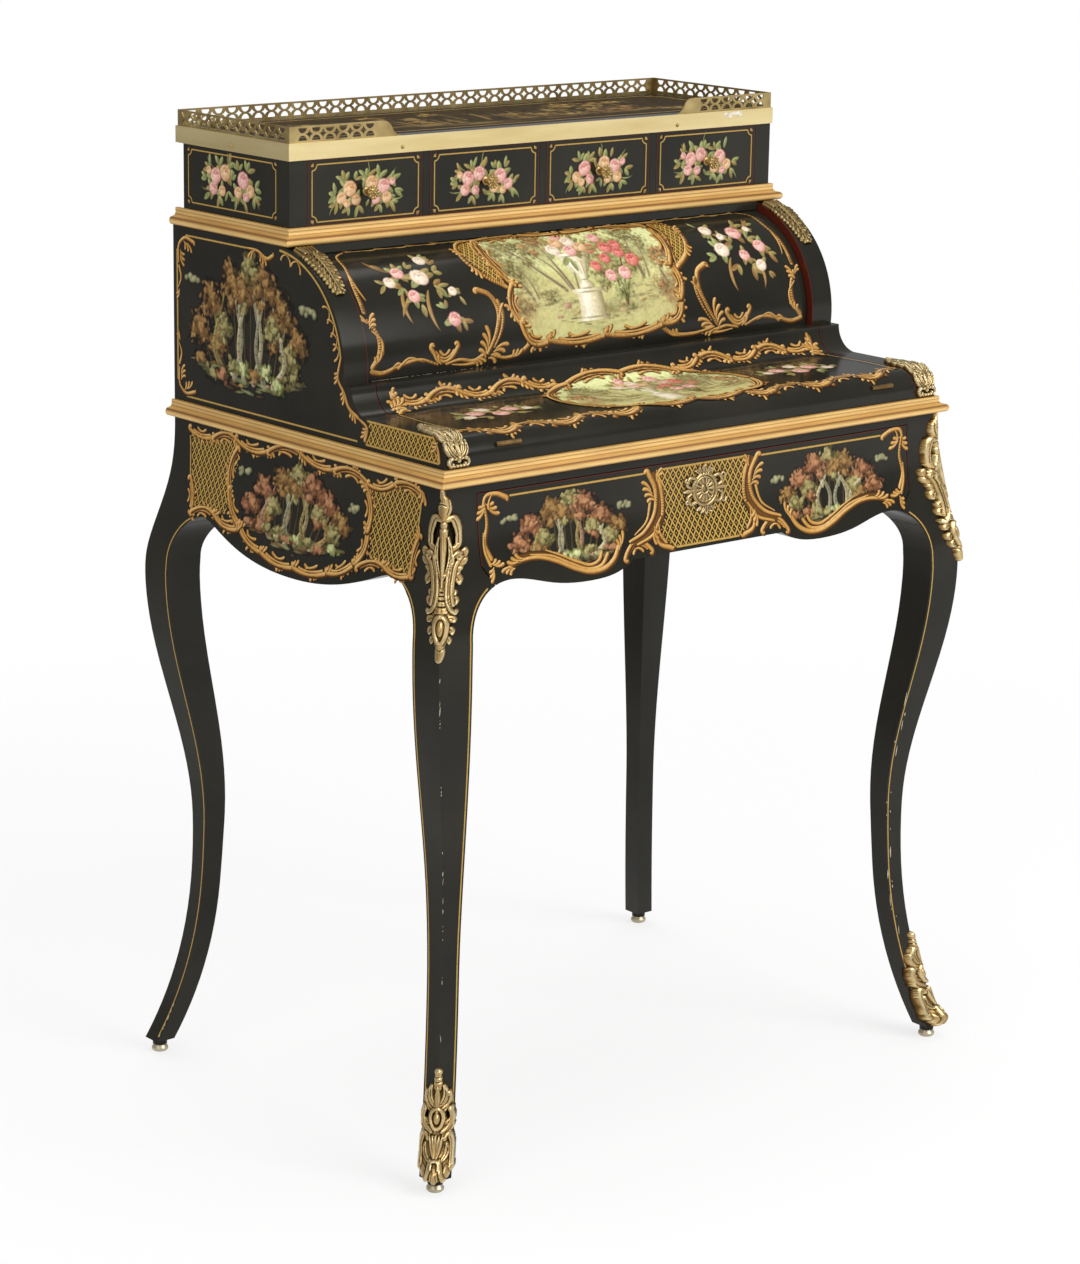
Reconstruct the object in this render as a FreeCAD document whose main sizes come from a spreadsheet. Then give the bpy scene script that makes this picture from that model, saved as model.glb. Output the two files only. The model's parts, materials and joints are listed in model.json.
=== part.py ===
import FreeCAD, Part
import math
import os
import re

# Bonheur du jour: a small writing desk on cabriole legs, with a fold-out writing flap,
# a roll-up cylinder front, a frieze drawer and a tier of four small drawers under a gallery.
# Millimetres. +X is the right side, -Y the front, +Z up. The origin is on the floor,
# under the middle of the piece.

Vector = FreeCAD.Vector
doc = FreeCAD.newDocument("bonheur_du_jour")

# Driving dimensions
sizes = {
    # case
    "case_width": 678,
    "case_depth": 458,
    "case_set_back": 6.2,
    "waist_thickness": 17,
    "bed_thickness": 18,
    "case_height": 185,
    "side_thickness": 30,
    "back_thickness": 10,
    # legs and aprons
    "leg_top": 718,
    "foot_lift": 14,
    "knee_height": 550,
    "ankle_height": 268,
    "knee_swell": 24,
    "ankle_draw": 11,
    "foot_kick": 28,
    "knee_thickness": 42,
    "ankle_thickness": 23,
    "stile_width": 40,
    "ear_reach": 15,
    "ear_rise": 20,
    "arch_spring": 564,
    "arch_radius": 55,
    "apron_thickness": 20,
    "side_apron_drop": 130.5,
    "back_apron_drop": 98,
    "glide_radius": 9,
    "glide_edge": 1.5,
    "neck_radius": 8,
    "neck_length": 6,
    # frieze drawer
    "rail_height": 10,
    "rail_depth": 36,
    "drawer_gap": 1,
    "drawer_front_thickness": 20,
    "drawer_centre_width": 208,
    "drawer_centre_rise": 101,
    "drawer_lobe_drop": 13,
    "drawer_lobe_place": 160,
    "drawer_box_inset": 14,
    "drawer_box_height": 60,
    "drawer_box_drop": 7,
    "drawer_back_clearance": 34,
    "drawer_side_thickness": 10,
    "drawer_bottom_thickness": 6,
    "runner_thickness": 10,
    "runner_lip": 14,
    "guide_height": 25,
    "running_gap": 0.3,
    # lock of the frieze drawer
    "keyhole_drop": 43,
    "keyhole_radius": 2.5,
    "lock_width": 46,
    "lock_height": 48,
    "lock_thickness": 12,
    "bolt_width": 16,
    "bolt_thickness": 6,
    "bolt_length": 18,
    "bolt_travel": 7,
    "bolt_clearance": 0.1,
    "escutcheon_width": 62,
    "escutcheon_height": 49,
    "escutcheon_thickness": 2.5,
    # writing flap
    "flap_thickness": 12,
    "flap_gap": 1,
    "front_round": 22,
    "cove_set_back": 121,
    "cove_radius": 28,
    "leather_thickness": 1,
    "leather_margin": 34,
    "bed_leather_depth": 290,
    # hinges of the flap
    "hinge_margin": 34.5,
    "hinge_length": 31,
    "hinge_inset": 1.5,
    "barrel_radius": 2.5,
    "hinge_pin_radius": 1.25,
    "hinge_clearance": 0.05,
    "knuckle_gap": 0.3,
    "leaf_depth": 16,
    "leaf_thickness": 1.5,
    "barrel_relief": 0.4,
    # roll-up cylinder
    "roll_set_back": 277,
    "roll_height": 69,
    "side_radius": 116,
    "cylinder_radius": 108,
    "cylinder_thickness": 13,
    "cylinder_low_angle": 12,
    "cylinder_high_angle": 84,
    "cylinder_gap": 1.5,
    "roll_clearance": 1,
    "rail_front_offset": 22,
    "arm_thickness": 8,
    "arm_inset": 5,
    "hub_radius": 16,
    "pivot_radius": 4,
    "pivot_clearance": 0.05,
    "pivot_plate_radius": 15,
    "pivot_plate_thickness": 3,
    "pivot_length": 16,
    # drawer tier
    "tier_inset": 7,
    "tier_set_back": 262,
    "floor_thickness": 17.6,
    "tier_inside": 67.4,
    "tier_top_thickness": 17.4,
    "tier_side_thickness": 22,
    "divider_thickness": 9,
    "tier_gap": 0.6,
    "tier_front_thickness": 14,
    "tier_back_clearance": 14,
    "tier_box_drop": 10,
    "tier_box_wall": 6,
    "tier_box_bottom": 4,
    "knob_height": 31,
    "knob_radius": 11,
    "knob_length": 17,
    # mouldings, gallery and mounts
    "moulding_lip": 4,
    "moulding_nose": 12,
    "bullnose_radius": 4.4,
    "lip_height": 3,
    "band_thickness": 1.8,
    "pin_radius": 2,
    "pin_spacing": 380,
    "gallery_height": 16.6,
    "gallery_thickness": 1.2,
    "gallery_pitch": 17,
    "gallery_rim": 2,
    "gallery_hole_radius": 5.2,
    "gallery_return": 118,
    "gallery_slope": 25,
    "mount_thickness": 4,
    "mount_seat": 0.15,
    "mount_margin": 2,
    "knee_mount_height": 164,
    "knee_mount_width": 47,
    "sabot_height": 106,
    "sabot_width": 34,
    "sabot_toe_radius": 7.5,
    "sabot_toe_width": 24,
    "upper_mount_width": 25,
    "upper_mount_angle": 38,
    "lower_mount_width": 27,
    "lower_mount_length": 62,
}

# Places worked out from the driving dimensions
formulas = {
    "half_case": "case_width / 2",
    "half_inside": "half_case - side_thickness",
    "half_bay": "half_case - stile_width",
    "apron_inside": "half_case - apron_thickness",
    "case_front": "case_set_back - case_depth / 2",
    "case_back": "case_set_back + case_depth / 2",
    "back_inside": "case_back - back_thickness",
    "waist_top": "leg_top + waist_thickness",
    "bed_top": "waist_top + bed_thickness",
    "case_top": "waist_top + case_height",
    "floor_top": "case_top + floor_thickness",
    "tier_ceiling": "floor_top + tier_inside",
    "top_face": "tier_ceiling + tier_top_thickness",
    "half_tier": "half_case - tier_inset",
    "half_tier_inside": "half_tier - tier_side_thickness",
    "tier_front": "case_front + tier_set_back",
    "drawer_bay": "(2 * half_tier_inside - 3 * divider_thickness) / 4",
    "rail_under": "leg_top - rail_height",
    "drawer_top": "rail_under - drawer_gap",
    "drawer_inside": "case_front + drawer_front_thickness",
    "box_half": "half_bay - drawer_box_inset",
    "box_top": "drawer_top - drawer_box_drop",
    "box_under": "box_top - drawer_box_height",
    "drawer_box_length": "case_depth - drawer_front_thickness - apron_thickness - drawer_back_clearance",
    "box_back": "drawer_inside + drawer_box_length",
    "runner_top": "box_under - running_gap",
    "runner_inside": "box_half - runner_lip",
    "guide_inside": "box_half + running_gap",
    "keyhole_z": "leg_top - keyhole_drop",
    "bolt_under": "drawer_top - bolt_length",
    "flap_top": "bed_top + flap_thickness",
    "flap_half": "half_inside - flap_gap",
    "cove_y": "case_front + cove_set_back",
    "ledge_z": "flap_top + cove_radius",
    "roll_y": "case_front + roll_set_back",
    "roll_z": "waist_top + roll_height",
    "flap_back": "roll_y - cylinder_radius - roll_clearance",
    "hinge_y": "case_front + hinge_inset",
    "hinge_spacing": "2 * (half_inside - hinge_margin) - hinge_length",
    "knuckle": "(hinge_length - 2 * knuckle_gap) / 3",
    "cylinder_half": "half_inside - cylinder_gap",
    "arm_outside": "half_inside - arm_inset",
    "tier_box_back": "back_inside - tier_back_clearance",
    "band_half": "half_tier + band_thickness",
    "band_front": "tier_front - band_thickness",
    "band_back": "case_back + band_thickness",
    "knob_z": "floor_top + knob_height",
}

sheet = doc.addObject("Spreadsheet::Sheet", "Sizes")
for row, (alias, number) in enumerate(sizes.items(), start=1):
    sheet.set(f"A{row}", alias)
    sheet.set(f"B{row}", str(number))
    sheet.setAlias(f"B{row}", alias)
doc.recompute()


def bind(text):
    """Turn plain size names into references to the sheet and to the worked-out places."""
    def reference(match):
        word = match.group(0)
        if word in sizes:
            return "Sizes." + word
        if word in formulas:
            return "Places." + word
        return word
    return re.sub(r"[a-z_]+", reference, text)


places = doc.addObject("App::VarSet", "Places")
for name, formula in formulas.items():
    places.addProperty("App::PropertyFloat", name, "Places")
    places.setExpression(name, bind(formula))
doc.recompute()


def mm(name):
    """A driving dimension or a worked-out place, as a number."""
    return float(sheet.get(name)) if name in sizes else getattr(places, name)


# Ways of making a piece

planes = {
    "front": FreeCAD.Rotation(Vector(1, 0, 0), 90),
    "side": FreeCAD.Rotation(Vector(1, 1, 1), 120),
    "plan": FreeCAD.Rotation(),
}
normals = {"front": (Vector(0, 1, 0), "y"), "side": (Vector(1, 0, 0), "x"), "plan": (Vector(0, 0, 1), "z")}
along_x = FreeCAD.Rotation(Vector(0, 1, 0), 90)
nodes = []


def keep(piece, label):
    """Name a finished sub-part after its file."""
    piece.Label = label
    nodes.append(piece)
    return piece


def line(start, end):
    return Part.LineSegment(Vector(*start, 0), Vector(*end, 0))


def arc(start, middle, end):
    return Part.Arc(Vector(*start, 0), Vector(*middle, 0), Vector(*end, 0))


def curve(points):
    spline = Part.BSplineCurve()
    spline.interpolate([Vector(u, v, 0) for u, v in points])
    return spline


def polygon(points):
    return [line(a, b) for a, b in zip(points, points[1:] + points[:1])]


def around(centre, radius, degrees):
    """A point on a circle in the side view: 0 degrees faces the front, 90 degrees is the top."""
    angle = math.radians(degrees)
    return centre[0] - radius * math.cos(angle), centre[1] + radius * math.sin(angle)


def sweep_arc(centre, radius, first, last):
    middle = (first + last) / 2
    return arc(*(around(centre, radius, degrees) for degrees in (first, middle, last)))


def outline(name, plane, edges):
    sketch = doc.addObject("Sketcher::SketchObject", name)
    sketch.Placement = FreeCAD.Placement(Vector(), planes[plane])
    for edge in edges:
        sketch.addGeometry(edge, False)
    return sketch


def extrude(name, plane, edges, low, high):
    """A flat outline in one view, given its thickness from low to high across that view."""
    direction, axis = normals[plane]
    sketch = outline(name + "_outline", plane, edges)
    sketch.setExpression("Placement.Base." + axis, bind(low))
    solid = doc.addObject("Part::Extrusion", name)
    solid.Base = sketch
    solid.DirMode = "Custom"
    solid.Dir = direction
    solid.Solid = True
    solid.setExpression("LengthFwd", bind(f"({high}) - ({low})"))
    return solid


def board(name, x, y, z):
    """A squared board between low and high sizes on each axis."""
    box = doc.addObject("Part::Box", name)
    for side, axis, (low, high) in (("Length", "x", x), ("Width", "y", y), ("Height", "z", z)):
        box.setExpression(side, bind(f"({high}) - ({low})"))
        box.setExpression("Placement.Base." + axis, bind(low))
    return box


def rod(name, radius, x, y, z):
    """A round rod along X, from low to high."""
    cylinder = doc.addObject("Part::Cylinder", name)
    cylinder.Placement = FreeCAD.Placement(Vector(), along_x)
    cylinder.setExpression("Radius", bind(radius))
    cylinder.setExpression("Height", bind(f"({x[1]}) - ({x[0]})"))
    for axis, place in (("x", x[0]), ("y", y), ("z", z)):
        cylinder.setExpression("Placement.Base." + axis, bind(place))
    return cylinder


def both(name, first, second):
    """What two sawn blanks have in common, as when a leg is sawn on two faces."""
    solid = doc.addObject("Part::Common", name)
    solid.Base = first
    solid.Tool = second
    return solid


def cut(name, base, tool):
    solid = doc.addObject("Part::Cut", name)
    solid.Base = base
    solid.Tool = tool
    return solid


def join(name, pieces):
    solid = doc.addObject("Part::MultiFuse", name)
    solid.Shapes = pieces
    return solid


def group(name, pieces):
    compound = doc.addObject("Part::Compound", name)
    compound.Links = pieces
    return compound


def mirror(name, piece):
    """The right-hand twin of a left-hand piece."""
    twin = doc.addObject("Part::Mirroring", name)
    twin.Source = piece
    twin.Normal = Vector(1, 0, 0)
    return twin


def lathe(name, profile):
    """A turned piece, upright on the origin."""
    solid = doc.addObject("Part::Revolution", name)
    solid.Source = profile
    solid.Axis = Vector(0, 0, 1)
    solid.Angle = 360
    solid.Solid = True
    return solid


# Cabriole curve of the legs, which the aprons and the drawer front follow

swell_lag = 1.35
kick_power = 2.3
leg_stations = 29
inner_stations = 26
flare_stations = 7
ankle_end = 0.75
arch_bend = 25


def ease(share):
    return (1 - math.cos(math.pi * share)) / 2


def leg_out(z):
    """How far the outer faces of a leg stand beyond the case at a height."""
    top, knee, ankle, foot = (mm(n) for n in ("leg_top", "knee_height", "ankle_height", "foot_lift"))
    swell, draw, kick = mm("knee_swell"), mm("ankle_draw"), mm("foot_kick")
    if z >= knee:
        return swell * ease(((top - z) / (top - knee)) ** swell_lag)
    if z >= ankle:
        return swell - (swell + draw) * ease((knee - z) / (knee - ankle))
    return (draw + kick) * ((ankle - z) / (ankle - foot)) ** kick_power - draw


def leg_in(z):
    """The inner faces of a leg, measured the same way."""
    knee, slim = mm("knee_height"), mm("ankle_height") * ankle_end
    share = min(max((knee - z) / (knee - slim), 0), 1)
    thickness = mm("knee_thickness") - (mm("knee_thickness") - mm("ankle_thickness")) * ease(share)
    return leg_out(z) - thickness


def heights(low, high, count):
    return [low + (high - low) * i / (count - 1) for i in range(count)]


def arch_z(offset):
    """The arch between a leg and an apron, at an offset from the face of the case."""
    radius = mm("arch_radius")
    return mm("arch_spring") + math.sqrt(radius ** 2 - (offset - arch_offset()) ** 2)


def arch_offset():
    return leg_in(mm("arch_spring")) - mm("arch_radius")


def leg_outline(place, ear):
    """A leg in front or side view; place turns an offset from the case face into a coordinate."""
    top, foot, spring, stile = (mm(n) for n in ("leg_top", "foot_lift", "arch_spring", "stile_width"))
    reach = stile + ear
    tip = (place(-reach), arch_z(-reach))
    springing = (place(leg_in(spring)), spring)
    bend = math.radians(arch_bend)
    middle_offset = arch_offset() + mm("arch_radius") * math.cos(bend)
    middle = (place(middle_offset), spring + mm("arch_radius") * math.sin(bend))
    outer = [(place(leg_out(z)), z) for z in heights(foot, top, leg_stations)]
    inner = [(place(leg_in(z)), z) for z in heights(spring, foot, inner_stations)]
    corner = (place(-stile), top)
    edges = [curve(outer), line(outer[-1], corner)]
    if ear:
        shoulder = (place(-stile), tip[1] + mm("ear_rise"))
        edges += [line(corner, shoulder), line(shoulder, tip)]
    else:
        edges.append(line(corner, tip))
    return edges + [arc(tip, middle, springing), curve(inner), line(inner[-1], outer[0])]


def from_left(offset):
    return -mm("half_case") - offset


def from_front(offset):
    return mm("case_front") - offset


def from_back(offset):
    return mm("case_back") + offset


def left_leg(name, place_y, ear, span):
    blank_x = extrude(name + "_front_sawn", "front", leg_outline(from_left, ear), *span)
    blank_y = extrude(name + "_side_sawn", "side", leg_outline(place_y, 0),
                      "-half_case - knee_swell - foot_kick", "-half_bay + knee_swell + ear_reach")
    shaft = both(name + "_shaft", blank_x, blank_y)
    middle = (leg_out(mm("foot_lift")) + leg_in(mm("foot_lift"))) / 2
    centre = Vector(from_left(middle), place_y(middle), mm("foot_lift") - mm("neck_length"))
    neck = doc.addObject("Part::Cylinder", name + "_neck")
    neck.setExpression("Radius", bind("neck_radius"))
    neck.setExpression("Height", bind("neck_length"))
    neck.Placement.Base = centre
    return join(name, [shaft, neck]), centre


front_span = ("case_front - knee_swell - foot_kick", "case_front + stile_width + knee_swell")
back_span = ("case_back - stile_width - knee_swell", "case_back + knee_swell + foot_kick")
leg_front_left, front_neck = left_leg("leg_front_left", from_front, mm("ear_reach"), front_span)
leg_back_left, back_neck = left_leg("leg_back_left", from_back, 0, back_span)
keep(leg_front_left, "leg_front_left")
keep(mirror("leg_front_right", leg_front_left), "leg_front_right")
keep(leg_back_left, "leg_back_left")
keep(mirror("leg_back_right", leg_back_left), "leg_back_right")

# Brass glides under the four feet
glide_high = mm("foot_lift") - mm("neck_length")
glide_edge = mm("glide_edge")
glide_crown = 0.8 * mm("neck_radius")
glide_points = [
    (0, 0),
    (mm("glide_radius") - glide_edge, 0),
    (mm("glide_radius"), glide_edge),
    (mm("glide_radius"), glide_high / 2),
    (glide_crown, glide_high),
    (0, glide_high),
]
glide_profile = outline("glide_profile", "front", polygon(glide_points))
glides = []
for name, neck in (("front", front_neck), ("back", back_neck)):
    for side, sign in (("left", 1), ("right", -1)):
        glide = lathe(f"glide_{name}_{side}", glide_profile)
        glide.Placement.Base = Vector(sign * neck.x, neck.y, 0)
        glides.append(glide)
keep(group("foot_glides", glides), "foot_glides")

# Aprons between the legs


def flared_section(place, inside, low):
    """Section of a board whose outer face swells with the knees and whose inner face is flat."""
    top = mm("leg_top")
    outer = [(place(leg_out(z)), z) for z in heights(low, top, flare_stations)]
    return [curve(outer), line(outer[-1], (inside, top)), line((inside, top), (inside, low)),
            line((inside, low), outer[0])]


apron_low = mm("leg_top") - mm("side_apron_drop")
front_end = from_front(-mm("stile_width"))
back_end = from_back(-mm("stile_width"))
apron_middle = (front_end + back_end) / 2
apron_half = (back_end - front_end) / 2
apex_z = mm("arch_spring") + mm("arch_radius")
end_z = arch_z(-mm("stile_width"))
apex_at = apron_half - (-arch_offset() - mm("stile_width"))
scallop_shares = [(0.72, 0.8), (0.48, 0.33), (0.22, 0.06)]
scallop = [(apex_at, apex_z)]
scallop += [(apron_half * at, apron_low + (apex_z - apron_low) * rise) for at, rise in scallop_shares]
scallop = [(apron_half, end_z)] + scallop + [(0, apron_low)]
left_half = [(apron_middle - at, z) for at, z in scallop]
right_half = [(apron_middle + at, z) for at, z in reversed(scallop)]
apron_edges = [
    curve(left_half + right_half[1:]),
    line((back_end, end_z), (back_end, mm("leg_top"))),
    line((back_end, mm("leg_top")), (front_end, mm("leg_top"))),
    line((front_end, mm("leg_top")), (front_end, end_z)),
]
apron_blank = extrude("side_apron_sawn", "side", apron_edges,
                      "-half_case - knee_swell", "-apron_inside + apron_thickness")
apron_section = extrude("side_apron_section", "front",
                        flared_section(from_left, -mm("apron_inside"), apron_low - mm("apron_thickness")),
                        "case_front + stile_width", "case_back - stile_width")
side_apron_left = both("side_apron_left", apron_blank, apron_section)
keep(side_apron_left, "side_apron_left")
keep(mirror("side_apron_right", side_apron_left), "side_apron_right")

keep(board("back_apron", ("-half_bay", "half_bay"), ("case_back - apron_thickness", "case_back"),
           ("leg_top - back_apron_drop", "leg_top")), "back_apron")

# Rail over the frieze drawer, with the mortise that takes the lock bolt
rail = board("front_rail_blank", ("-half_bay", "half_bay"), ("case_front", "case_front + rail_depth"),
             ("rail_under", "leg_top"))
bolt_front = "drawer_inside + (lock_thickness - bolt_thickness) / 2"
bolt_rear = "drawer_inside + (lock_thickness + bolt_thickness) / 2"
mortise = board("bolt_mortise", ("-bolt_width / 2 - drawer_gap", "bolt_width / 2 + drawer_gap"),
                (bolt_front + " - drawer_gap", bolt_rear + " + drawer_gap"),
                ("rail_under - drawer_gap", "drawer_top + bolt_travel + drawer_gap"))
keep(cut("front_rail", rail, mortise), "front_rail")

# Runners that carry and guide the frieze drawer, fixed inside the side aprons
runner_edges = polygon([
    (-mm("apron_inside"), mm("runner_top") - mm("runner_thickness")),
    (-mm("runner_inside"), mm("runner_top") - mm("runner_thickness")),
    (-mm("runner_inside"), mm("runner_top")),
    (-mm("guide_inside"), mm("runner_top")),
    (-mm("guide_inside"), mm("runner_top") + mm("guide_height")),
    (-mm("apron_inside"), mm("runner_top") + mm("guide_height")),
])
runner_left = extrude("runner_left", "front", runner_edges,
                      "case_front + stile_width", "case_back - stile_width")
keep(group("drawer_runners", [runner_left, mirror("runner_right", runner_left)]), "drawer_runners")

# Waist board on the legs, with its gilt moulding mitred round three sides
keep(board("waist_board", ("-half_case", "half_case"), ("case_front", "case_back"),
           ("leg_top", "waist_top")), "waist_board")


def moulding_profile(place, low, high):
    """Bullnose below, cove above it and a small lip on top; place sets a reach from the board."""
    nose, lip, radius = mm("moulding_nose"), mm("moulding_lip"), mm("bullnose_radius")
    lip_low = high - mm("lip_height")
    shoulder = nose - radius
    cove_middle = (place((shoulder + 3 * lip) / 4), low + 2 * radius + (lip_low - low - 2 * radius) / 4)
    return [
        line((place(0), low), (place(shoulder), low)),
        arc((place(shoulder), low), (place(nose), low + radius), (place(shoulder), low + 2 * radius)),
        arc((place(shoulder), low + 2 * radius), cove_middle, (place(lip), lip_low)),
        line((place(lip), lip_low), (place(lip), high)),
        line((place(lip), high), (place(0), high)),
        line((place(0), high), (place(0), low)),
    ]


def moulding(name, half, front, low, high):
    """Three mitred lengths round the front and sides of a board."""
    half_mm, front_mm, low_mm, high_mm = mm(half), mm(front), mm(low), mm(high)
    nose = 2 * mm("moulding_nose")
    back_mm = mm("case_back")
    front_plan = polygon([(-half_mm, front_mm), (-half_mm - nose, front_mm - nose),
                          (half_mm + nose, front_mm - nose), (half_mm, front_mm)])
    side_plan = polygon([(-half_mm, front_mm), (-half_mm - nose, front_mm - nose),
                         (-half_mm - nose, back_mm), (-half_mm, back_mm)])
    front_run = extrude(name + "_front_run", "side",
                        moulding_profile(lambda reach: front_mm - reach, low_mm, high_mm),
                        f"-{half} - 2 * moulding_nose", f"{half} + 2 * moulding_nose")
    side_run = extrude(name + "_side_run", "front",
                       moulding_profile(lambda reach: -half_mm - reach, low_mm, high_mm),
                       f"{front} - 2 * moulding_nose", "case_back")
    front_mitre = extrude(name + "_front_mitre", "plan", front_plan, low, high)
    side_mitre = extrude(name + "_side_mitre", "plan", side_plan, low, high)
    front_length = both(name + "_front", front_run, front_mitre)
    left_length = both(name + "_left", side_run, side_mitre)
    lengths = [front_length, left_length, mirror(name + "_right", left_length)]
    return keep(group(name, lengths), name)


moulding("waist_moulding", "half_case", "case_front", "leg_top", "waist_top")

# Case sides, cut to the curve of the cylinder, the cove and the rounded front
roll = (mm("roll_y"), mm("roll_z"))
ledge_angle = math.degrees(math.asin((mm("ledge_z") - roll[1]) / mm("side_radius")))
ledge_back = around(roll, mm("side_radius"), ledge_angle)
cove_centre = (mm("cove_y"), mm("ledge_z"))
cove_top = (mm("cove_y") + mm("cove_radius"), mm("ledge_z"))
cove_foot = (mm("cove_y"), mm("flap_top"))
cove_bend = math.radians(45)
cove_middle = (cove_centre[0] + mm("cove_radius") * math.cos(cove_bend),
               cove_centre[1] - mm("cove_radius") * math.sin(cove_bend))
round_centre = (mm("case_front") + mm("front_round"), mm("flap_top") - mm("front_round"))
round_top = around(round_centre, mm("front_round"), 90)
round_front = around(round_centre, mm("front_round"), 0)
seam_angle = math.degrees(math.asin((mm("bed_top") - round_centre[1]) / mm("front_round")))
seam = around(round_centre, mm("front_round"), seam_angle)
crown = around(roll, mm("side_radius"), 90)
side_edges = [
    line((mm("case_front"), mm("waist_top")), (mm("case_back"), mm("waist_top"))),
    line((mm("case_back"), mm("waist_top")), (mm("case_back"), mm("case_top"))),
    line((mm("case_back"), mm("case_top")), crown),
    sweep_arc(roll, mm("side_radius"), 90, ledge_angle),
    line(ledge_back, cove_top),
    arc(cove_top, cove_middle, cove_foot),
    line(cove_foot, round_top),
    sweep_arc(round_centre, mm("front_round"), 90, 0),
    line(round_front, (mm("case_front"), mm("waist_top"))),
]
case_side_left = extrude("case_side_left", "side", side_edges, "-half_case", "-half_inside")
keep(case_side_left, "case_side_left")
keep(mirror("case_side_right", case_side_left), "case_side_right")

keep(board("back_panel", ("-half_inside", "half_inside"), ("back_inside", "case_back"),
           ("waist_top", "tier_ceiling")), "back_panel")

# Hinge seats, cut alike in the writing bed and in the flap
hinge_middles = {"left": "-hinge_spacing / 2", "right": "hinge_spacing / 2"}


def hinge_seat(name, low, high):
    seats = []
    for side, middle in hinge_middles.items():
        span = (f"{middle} - hinge_length / 2 - knuckle_gap", f"{middle} + hinge_length / 2 + knuckle_gap")
        seats.append(board(f"{name}_leaf_{side}", span, ("hinge_y", "hinge_y + leaf_depth + knuckle_gap"),
                           (low, high)))
        seats.append(rod(f"{name}_barrel_{side}", "barrel_radius + barrel_relief", span,
                         "hinge_y", "bed_top"))
    return join(name, seats)


def panel_recess(name, y, z):
    return board(name, ("-half_inside + leather_margin", "half_inside - leather_margin"), y, z)


# Writing bed, whose rounded front edge shows under the flap, and its leather
bed_edges = [
    line((mm("case_front"), mm("waist_top")), (mm("back_inside"), mm("waist_top"))),
    line((mm("back_inside"), mm("waist_top")), (mm("back_inside"), mm("bed_top"))),
    line((mm("back_inside"), mm("bed_top")), seam),
    sweep_arc(round_centre, mm("front_round"), seam_angle, 0),
    line(round_front, (mm("case_front"), mm("waist_top"))),
]
bed_leather_y = ("case_front + leather_margin", "case_front + leather_margin + bed_leather_depth")
bed_leather_z = ("bed_top - leather_thickness", "bed_top")
bed_blank = extrude("bed_blank", "side", bed_edges, "-half_inside", "half_inside")
bed_cuts = join("bed_cuts", [
    hinge_seat("bed_hinge_seat", "bed_top - leaf_thickness", "bed_top + leaf_thickness"),
    panel_recess("bed_recess", bed_leather_y, ("bed_top - leather_thickness", "bed_top + leaf_thickness")),
])
keep(cut("writing_bed", bed_blank, bed_cuts), "writing_bed")
keep(panel_recess("bed_leather", bed_leather_y, bed_leather_z), "bed_leather")

# Writing flap: a thin panel with a rounded front, its cove at the back, and its leather
flap_edges = [
    line(seam, (mm("cove_y"), mm("bed_top"))),
    line((mm("cove_y"), mm("bed_top")), cove_foot),
    line(cove_foot, round_top),
    sweep_arc(round_centre, mm("front_round"), 90, seam_angle),
]
flap_leather_y = ("case_front + leather_margin", "cove_y - leather_margin / 4")
flap_leather_z = ("bed_top", "bed_top + leather_thickness")
flap_blank = extrude("flap_blank", "side", flap_edges, "-flap_half", "flap_half")
flap_cuts = join("flap_cuts", [
    hinge_seat("flap_hinge_seat", "bed_top - leaf_thickness", "bed_top + leaf_thickness"),
    panel_recess("flap_recess", flap_leather_y,
                 ("bed_top - leather_thickness", "bed_top + leather_thickness")),
])
keep(cut("flap_panel", flap_blank, flap_cuts), "flap_panel")
keep(panel_recess("flap_leather", flap_leather_y, flap_leather_z), "flap_leather")
cove_edges = [
    line((mm("cove_y"), mm("bed_top")), (mm("flap_back"), mm("bed_top"))),
    line((mm("flap_back"), mm("bed_top")), (mm("flap_back"), mm("ledge_z"))),
    line((mm("flap_back"), mm("ledge_z")), cove_top),
    arc(cove_top, cove_middle, cove_foot),
    line(cove_foot, (mm("cove_y"), mm("bed_top"))),
]
keep(extrude("flap_cove", "side", cove_edges, "-flap_half", "flap_half"), "flap_cove")

# Brass hinges: one knuckle on the bed leaf, two on the flap leaf, and a pin through all three


def hinge_leaf(name, middle, knuckles, low, high):
    plate = board(name + "_plate", (f"{middle} - hinge_length / 2", f"{middle} + hinge_length / 2"),
                  ("hinge_y + barrel_radius + barrel_relief", "hinge_y + leaf_depth"), (low, high))
    pieces = [plate]
    for index, (start, end) in enumerate(knuckles):
        span = (f"{middle} + {start}", f"{middle} + {end}")
        pieces.append(rod(f"{name}_knuckle_{index}", "barrel_radius", span, "hinge_y", "bed_top"))
        pieces.append(board(f"{name}_neck_{index}", span,
                            ("hinge_y + hinge_pin_radius", "hinge_y + leaf_depth / 2"), (low, high)))
    bore = rod(name + "_bore", "hinge_pin_radius + hinge_clearance",
               (f"{middle} - hinge_length", f"{middle} + hinge_length"), "hinge_y", "bed_top")
    return cut(name, join(name + "_blank", pieces), bore)


bed_knuckles = [("(-knuckle / 2)", "knuckle / 2")]
flap_knuckles = [("(-hinge_length / 2)", "(-hinge_length / 2 + knuckle)"),
                 ("(hinge_length / 2 - knuckle)", "hinge_length / 2")]
bed_leaves, flap_leaves, hinge_pins = [], [], []
for side, middle in hinge_middles.items():
    bed_leaves.append(hinge_leaf(f"bed_leaf_{side}", middle, bed_knuckles,
                                 "bed_top - leaf_thickness", "bed_top"))
    flap_leaves.append(hinge_leaf(f"flap_leaf_{side}", middle, flap_knuckles,
                                  "bed_top", "bed_top + leaf_thickness"))
    hinge_pins.append(rod(f"hinge_pin_{side}", "hinge_pin_radius",
                          (f"{middle} - hinge_length / 2", f"{middle} + hinge_length / 2"),
                          "hinge_y", "bed_top"))
keep(group("hinge_bed_leaves", bed_leaves), "hinge_bed_leaves")
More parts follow.
